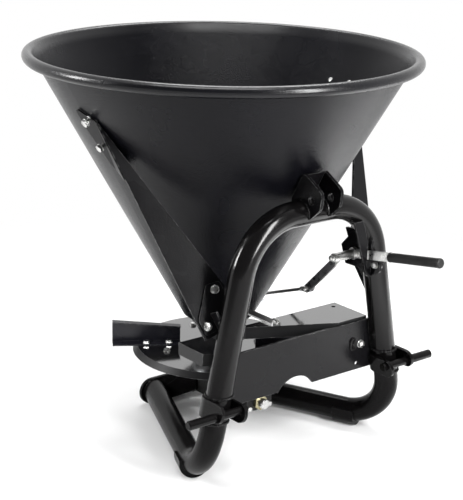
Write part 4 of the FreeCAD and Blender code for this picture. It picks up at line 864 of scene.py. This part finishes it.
pivots = {joint["name"]: Vector(joint["pos_m"]) for joint in frame["joints"]}
lever_pivot = pivots["lever_swing"]
bar_rise = math.radians(9.8)
bar_along = Vector((0, math.cos(bar_rise), math.sin(bar_rise)))
sleeve_start = 0.1215
sleeve_length = 0.165
sleeve_radius = 0.0112
collar_radius = 0.0119
ring_first = 0.012
ring_step = 0.0075
ring_width = 0.0060
ring_rise = 0.0003
ring_last = sleeve_length - 0.014
sleeve_profile = [
    (0.0, 0.0088),
    (0.0006, 0.0108),
    (0.0022, collar_radius),
    (0.0050, collar_radius),
    (0.0066, 0.0108),
]
ring = ring_first
while ring < ring_last:
    sleeve_profile.append((ring, sleeve_radius))
    sleeve_profile.append((ring + ring_width / 2, sleeve_radius + ring_rise))
    sleeve_profile.append((ring + ring_width, sleeve_radius))
    ring += ring_step
sleeve_profile += [
    (sleeve_length - 0.0090, 0.0117),
    (sleeve_length - 0.0040, collar_radius),
    (sleeve_length - 0.0015, 0.0110),
    (sleeve_length - 0.0003, 0.0090),
    (sleeve_length, 0.0050),
]
sleeve = bmesh.new()
turned_rings(sleeve, lever_pivot + bar_along * sleeve_start, bar_along, sleeve_profile, 40)
grip_sleeve = add_piece("grip_sleeve", "feed_lever", sleeve, rubber)
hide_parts("lever_grip")

# ---------------------------------------------------------------- wall bolt inside the hopper
# A round-headed bolt through the hopper's far wall, with a wide black sealing washer inside.
# Outside it ends in a plain nut on a washer.
hopper_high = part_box("hopper")[1]
rim_roll = 0.0135
wall_radius = nominal(hopper_high.x - rim_roll)
wall_top = nominal(hopper_high.z - rim_roll)
wall_foot_radius = 0.0895
wall_foot = 0.289
wall_slope = (wall_radius - wall_foot_radius) / (wall_top - wall_foot)
wall_tilt = math.atan(wall_slope)
wall_sheet = 0.003
seal_height = 0.835
seal_bearing = math.radians(-173.5)
seal_radius = 0.021
wall_thread = 0.009
seal_profile = [
    (0, seal_radius),
    (0.003, seal_radius),
    (0.005, seal_radius * 0.9),
    (0.0052, seal_radius * 0.5),
    (0.004, 0.008),
]
seal_out = Vector((math.cos(seal_bearing), math.sin(seal_bearing), 0))
seal_spot = seal_out * (wall_radius - (wall_top - seal_height) * wall_slope) + up_axis * seal_height
seal_axis = -(seal_out * math.cos(wall_tilt) - up_axis * math.sin(wall_tilt))
seal_inside = seal_spot + seal_axis * wall_sheet
rubber_ring = bmesh.new()
turned_rings(rubber_ring, seal_inside, seal_axis, seal_profile, 36)
wall_bolt = bmesh.new()
dome = [(0.0035, 0.0100), (0.0055, 0.0098), (0.0080, 0.0080), (0.0096, 0.0050), (0.0100, 0.0018)]
turned_rings(wall_bolt, seal_inside, seal_axis, dome, 28)
turned_rings(wall_bolt, seal_spot, -seal_axis, [(0, washer_radius), (washer_high, washer_radius)], 28)
nut_spot = seal_spot - seal_axis * washer_high
hexagon(wall_bolt, nut_spot, -seal_axis, bolt_flats, nut_high, 0.3, both_ends=True)
thread = thread_profile(nut_high, nut_high + wall_thread, thread_radius)
turned_rings(wall_bolt, seal_spot, -seal_axis, thread, 16)
add_piece("wall_bolt", "stand", wall_bolt, zinc)
seal_rubber = coat_material(
    "seal_rubber",
    black=(0.0016, 0.0016, 0.0016),
    rub_and_highlight=(0.004, 0.004, 0.004),
    smooth=0.5,
    dull=0.7,
    sheen=0.05,
    peel_depth=0.00005,
    peel_scale=500.0,
    dust=0.0,
)
add_piece("wall_seal", "stand", rubber_ring, seal_rubber)

# ---------------------------------------------------------------- bolts of the vanes
# M8 bolts, bright zinc: two hold each vane's foot on the disc, and a third stands beside it.
# Only heads and washers are made; the nuts under the disc are out of sight.
vane_turn = math.radians(-32)
vane_start = 0.095
vane_lead = -0.021
vane_sheet = 0.003
disc_face = nominal(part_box("spreading_disc")[1].z)
foot_top = disc_face + vane_sheet
vane_bolt_spots = ((0.088, 0.020), (0.030, 0.018))
slide_bolt_spot = (0.1344, 0.0510)
small_washer_radius = 0.009
small_washer_high = 0.0016
small_flats = 0.013
small_head = 0.0053


def small_bolt_head(mesh, place, twist):
    """An M8 head on its washer, looking up."""
    washer = [(0, small_washer_radius), (small_washer_high, small_washer_radius)]
    turned_rings(mesh, place, up_axis, washer, 24)
    hexagon(mesh, place + up_axis * small_washer_high, up_axis, small_flats, small_head, twist)


for index in range(4):
    heading = vane_turn + math.radians(90) * index
    along = Vector((math.cos(heading), math.sin(heading), 0))
    beside = Vector((-math.sin(heading), math.cos(heading), 0))
    bolts = bmesh.new()
    for reach, aside in vane_bolt_spots:
        spot = along * (vane_start + reach) + beside * (vane_lead + aside) + up_axis * foot_top
        small_bolt_head(bolts, spot, 0.3 * index)
    spot = along * slide_bolt_spot[0] + beside * slide_bolt_spot[1] + up_axis * disc_face
    small_bolt_head(bolts, spot, 0.5)
    add_piece("vane_bolts_%d" % (index + 1), "spinner", bolts, zinc)

# ---------------------------------------------------------------- bolts of apron, deck and cross plate
# Plain M10 bolts; the one at the end of the stay strap stands on the deck.
# Beside the apron's bolt sits an oblong black pad, pressed from thick plate.
apron_low, apron_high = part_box("apron")
apron_face = nominal(apron_high.y)
apron_sheet = nominal(apron_high.y - apron_low.y)
apron_bolt_spot = Vector((-0.197, apron_face, 0.258))
strap_low, strap_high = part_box("tongue_strap")
strap_bolt_inset = 0.013
strap_grip = 0.0065
strap_middle = nominal((strap_low.x + strap_high.x) / 2)
strap_bolt_forward = nominal(strap_high.y - strap_bolt_inset)
strap_bolt_spot = Vector((strap_middle, strap_bolt_forward, nominal(strap_high.z)))
cross_low, cross_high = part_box("rear_cross_plate")
cross_face = nominal(cross_high.y)
cross_sheet = nominal(cross_high.y - cross_low.y)
cross_bolt_side = 0.064
cross_bolt_height = 0.046
plate_bolts = bmesh.new()
through_bolt(plate_bolts, apron_bolt_spot, forward_axis, apron_sheet, 0.3)
through_bolt(plate_bolts, strap_bolt_spot, up_axis, strap_grip, 0.1)
for hand in (1, -1):
    spot = Vector((hand * cross_bolt_side, cross_face, cross_bolt_height))
    through_bolt(plate_bolts, spot, forward_axis, cross_sheet, 0.2)
add_piece("plate_bolts", "stand", plate_bolts, zinc)

pad_spot = Vector((-0.172, apron_face, 0.262))
pad_half_width = 0.0105
pad_straight = 0.0065
pad_corners = 32
pad_steps = ((0.0, 0.0), (0.0032, 0.0), (0.0045, 0.0012), (0.0045, 0.0050), (0.0036, 0.0062))
pad = bmesh.new()
pad_rings = []
for height, shrink in pad_steps:
    ring = []
    for corner in range(pad_corners):
        turn_angle = math.tau * corner / pad_corners
        lift = pad_straight if math.sin(turn_angle) >= 0 else -pad_straight
        reach = pad_half_width - shrink
        ring.append(
            pad_spot
            + side_axis * math.cos(turn_angle) * reach
            + up_axis * (math.sin(turn_angle) * reach + lift)
            + forward_axis * height
        )
    pad_rings.append(ring)
swept_rings(pad, pad_rings)
bmesh.ops.recalc_face_normals(pad, faces=pad.faces)
add_piece("apron_pad", "stand", pad, frame_coat)

# ---------------------------------------------------------------- weld seams
# Every plate on the pipe is welded by hand, and the coat follows the drops of the seam.
# The beads run round straps and clevis ears, and along the apron, the struts and the bracket.
leg_forward = nominal(hoop_high.y - tube_radius)
arch_height = nominal(hoop_high.z - tube_radius)
seam_radius = tube_radius + 0.0012
leg_side_at_pins = 0.2659
pin_height = 0.210
leg_lean = 0.2032
strap_edges = (0.1805, 0.2395)
strap_arc = (-70, 215)
apron_edge_heights = (0.244, 0.268, 0.292, 0.317)
apron_edge_inset = 0.0256
ear_sides = (0.0346, 0.0254)
ear_arc = (-8, 128)
ear_bead = 0.0028
bracket_bead = 0.0030
strut_sides = (0.0494, 0.0394)
strut_weld_low = 0.010
strut_weld_high = 0.036
weld_proud = 0.0005
bracket_weld_from = Vector((-0.139, 0.3535, 0.5955))
bracket_weld_to = Vector((-0.111, 0.3535, 0.5955))


def leg_side(height):
    """Distance of a leg's axis from the middle at a height on its straight part."""
    return leg_side_at_pins - (height - pin_height) * leg_lean


seams = bmesh.new()
for hand in (1, -1):
    for height in strap_edges:
        leg_centre = Vector((hand * leg_side(height), leg_forward, height))
        round_leg = arc_path(leg_centre, side_axis * hand, forward_axis, seam_radius, *strap_arc, 30)
        weld_bead(seams, round_leg)
    apron_edge = [
        Vector((hand * (leg_side(height) - apron_edge_inset), apron_face + weld_proud, height))
        for height in apron_edge_heights
    ]
    weld_bead(seams, apron_edge)
    for ear_side in ear_sides:
        ear_centre = Vector((hand * ear_side, leg_forward, arch_height))
        round_arch = arc_path(ear_centre, forward_axis, up_axis, seam_radius, *ear_arc, 22)
        weld_bead(seams, round_arch, ear_bead)
    for strut_side in strut_sides:
        strut_foot = Vector((hand * strut_side, cross_face + weld_proud, strut_weld_low))
        weld_bead(seams, [strut_foot, strut_foot + up_axis * (strut_weld_high - strut_weld_low)])
weld_bead(seams, [bracket_weld_from, bracket_weld_to], bracket_bead)
add_piece("frame_welds", "stand", seams, frame_coat)

# ---------------------------------------------------------------- stop bolt of the lever
# The bar rests above a zinc bolt through the bracket's lug, which a black knob locks from behind.
# The knob is turned, with a hollow end round the bolt's thread.
stop_spot = Vector((-0.170, 0.384, 0.485))
stop_radius = 0.0048
stop_flats = 0.0150
stop_head = 0.0060
thin_washer_high = 0.0014
thin_washer = [(0, 0.0092), (thin_washer_high, 0.0092)]
stop_shank = [(-0.001, stop_radius), (0.016, stop_radius)]
lug_back = 0.0062
knob_profile = [
    (0, 0.0100),
    (0.0015, 0.0118),
    (0.0085, 0.0118),
    (0.0100, 0.0104),
    (0.0100, 0.0062),
    (0.0080, 0.0056),
]
stop_bolt = bmesh.new()
turned_rings(stop_bolt, stop_spot, side_axis, thin_washer, 24)
hexagon(stop_bolt, stop_spot + side_axis * thin_washer_high, side_axis, stop_flats, stop_head, 0.25)
turned_rings(stop_bolt, stop_spot, -side_axis, stop_shank, 16)
turned_rings(stop_bolt, stop_spot, -side_axis, thread_profile(0.0155, 0.0220, stop_radius), 16)
add_piece("stop_bolt", "stand", stop_bolt, zinc)
knob = bmesh.new()
turned_rings(knob, stop_spot - side_axis * lug_back, -side_axis, knob_profile, 32)
add_piece("stop_knob", "stand", knob, frame_coat)

# ---------------------------------------------------------------- feed linkage fittings
# Zinc end cap of the lever's shaft, nut of the crank pin, and the rod's threaded end with its
# lock nut. All are turned or cold-headed steel, pushed or screwed on.
hub_end = nominal(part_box("lever")[1].x)
hub_play = 0.0008
shaft_spot = Vector((hub_end + hub_play, lever_pivot.y, lever_pivot.z))
cap_flange = [(0, 0.0100), (0.0005, 0.0110), (0.0044, 0.0110), (0.0050, 0.0100)]
cap_neck = [(0.0050, 0.0074), (0.0080, 0.0074), (0.0084, 0.0066), (0.0098, 0.0066)]
cap_end = [(0.0102, 0.0074), (0.0128, 0.0074), (0.0138, 0.0060)]
shaft_cap = bmesh.new()
turned_rings(shaft_cap, shaft_spot, side_axis, cap_flange + cap_neck + cap_end, 32)
add_piece("shaft_cap", "stand", shaft_cap, zinc)

rod_eye = pivots["rod_swing"]
crank_face = crank_outer - 0.001
crank_spot = Vector((crank_face, rod_eye.y, rod_eye.z))
pin_nut_high = 0.0062
pin_washer = [(0, 0.0082), (thin_washer_high, 0.0082)]
pin_thread = thread_profile(0.0070, 0.0115, radius=0.0038, pitch=0.00125)
crank_nut = bmesh.new()
turned_rings(crank_nut, crank_spot, side_axis, pin_washer, 24)
nut_spot = crank_spot + side_axis * thin_washer_high
hexagon(crank_nut, nut_spot, side_axis, small_flats, pin_nut_high, 0.2, both_ends=True)
turned_rings(crank_nut, crank_spot, side_axis, pin_thread, 16)
add_piece("crank_nut", "feed_lever", crank_nut, zinc)

rod_far = Vector((-0.138, -0.012, 0.304))
rod_along = (rod_far - rod_eye).normalized()
end_start = 0.0085
lock_nut_start = 0.0298
lock_nut_high = 0.0050
end_profile = [(0, 0.0050), (0.0010, 0.0062), (0.0200, 0.0062), (0.0210, 0.0052)]
rod_end = bmesh.new()
turned_rings(rod_end, rod_eye + rod_along * end_start, rod_along, end_profile, 20)
nut_spot = rod_eye + rod_along * lock_nut_start
hexagon(rod_end, nut_spot, rod_along, small_flats, lock_nut_high, 0.3, both_ends=True)
add_piece("rod_end", "feed_rod", rod_end, zinc)

# ---------------------------------------------------------------- drive stub collar and gearbox fittings
# Yellow-passivated hexagon collar on the input stub, which turns with it.
# The housing's cover bolts and its filler plug are bright zinc, screwed into the casting.
housing_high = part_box("gearbox_housing")[1]
housing_front = nominal(housing_high.y)
housing_side = nominal(housing_high.x)
shaft_low, shaft_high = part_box("input_shaft")
shaft_height = nominal((shaft_low.z + shaft_high.z) / 2)
collar_gap = 0.0003
collar_flats = 0.0350
collar_length = 0.0098
collar_spot = Vector((0, housing_front + collar_gap, shaft_height))
collar = bmesh.new()
hexagon(collar, collar_spot, forward_axis, collar_flats, collar_length, 0.15)
add_piece("stub_collar", "input_drive", collar, yellow_zinc)

cover_flats = 0.0125
cover_head = 0.0055
front_bolt_side = 0.032
front_bolt_heights = (0.087, 0.121)
side_bolt_spots = ((-0.046, 0.082), (-0.046, 0.126), (0.100, 0.126))
plug_spot = Vector((-0.020, 0.080, 0.140))
plug_flange = 0.0025
plug_radius = 0.0115
plug_flats = 0.0165
plug_head = 0.0070
cover_bolts = bmesh.new()
for hand in (1, -1):
    for height in front_bolt_heights:
        spot = Vector((hand * front_bolt_side, housing_front, height))
        hexagon(cover_bolts, spot, forward_axis, cover_flats, cover_head, 0.2)
    for forward, height in side_bolt_spots:
        spot = Vector((hand * housing_side, forward, height))
        hexagon(cover_bolts, spot, side_axis * hand, cover_flats, cover_head, 0.4)
turned_rings(cover_bolts, plug_spot, up_axis, [(0, plug_radius), (plug_flange, plug_radius)], 28)
hexagon(cover_bolts, plug_spot + up_axis * plug_flange, up_axis, plug_flats, plug_head, 0.1)
add_piece("gearbox_bolts", "stand", cover_bolts, zinc)
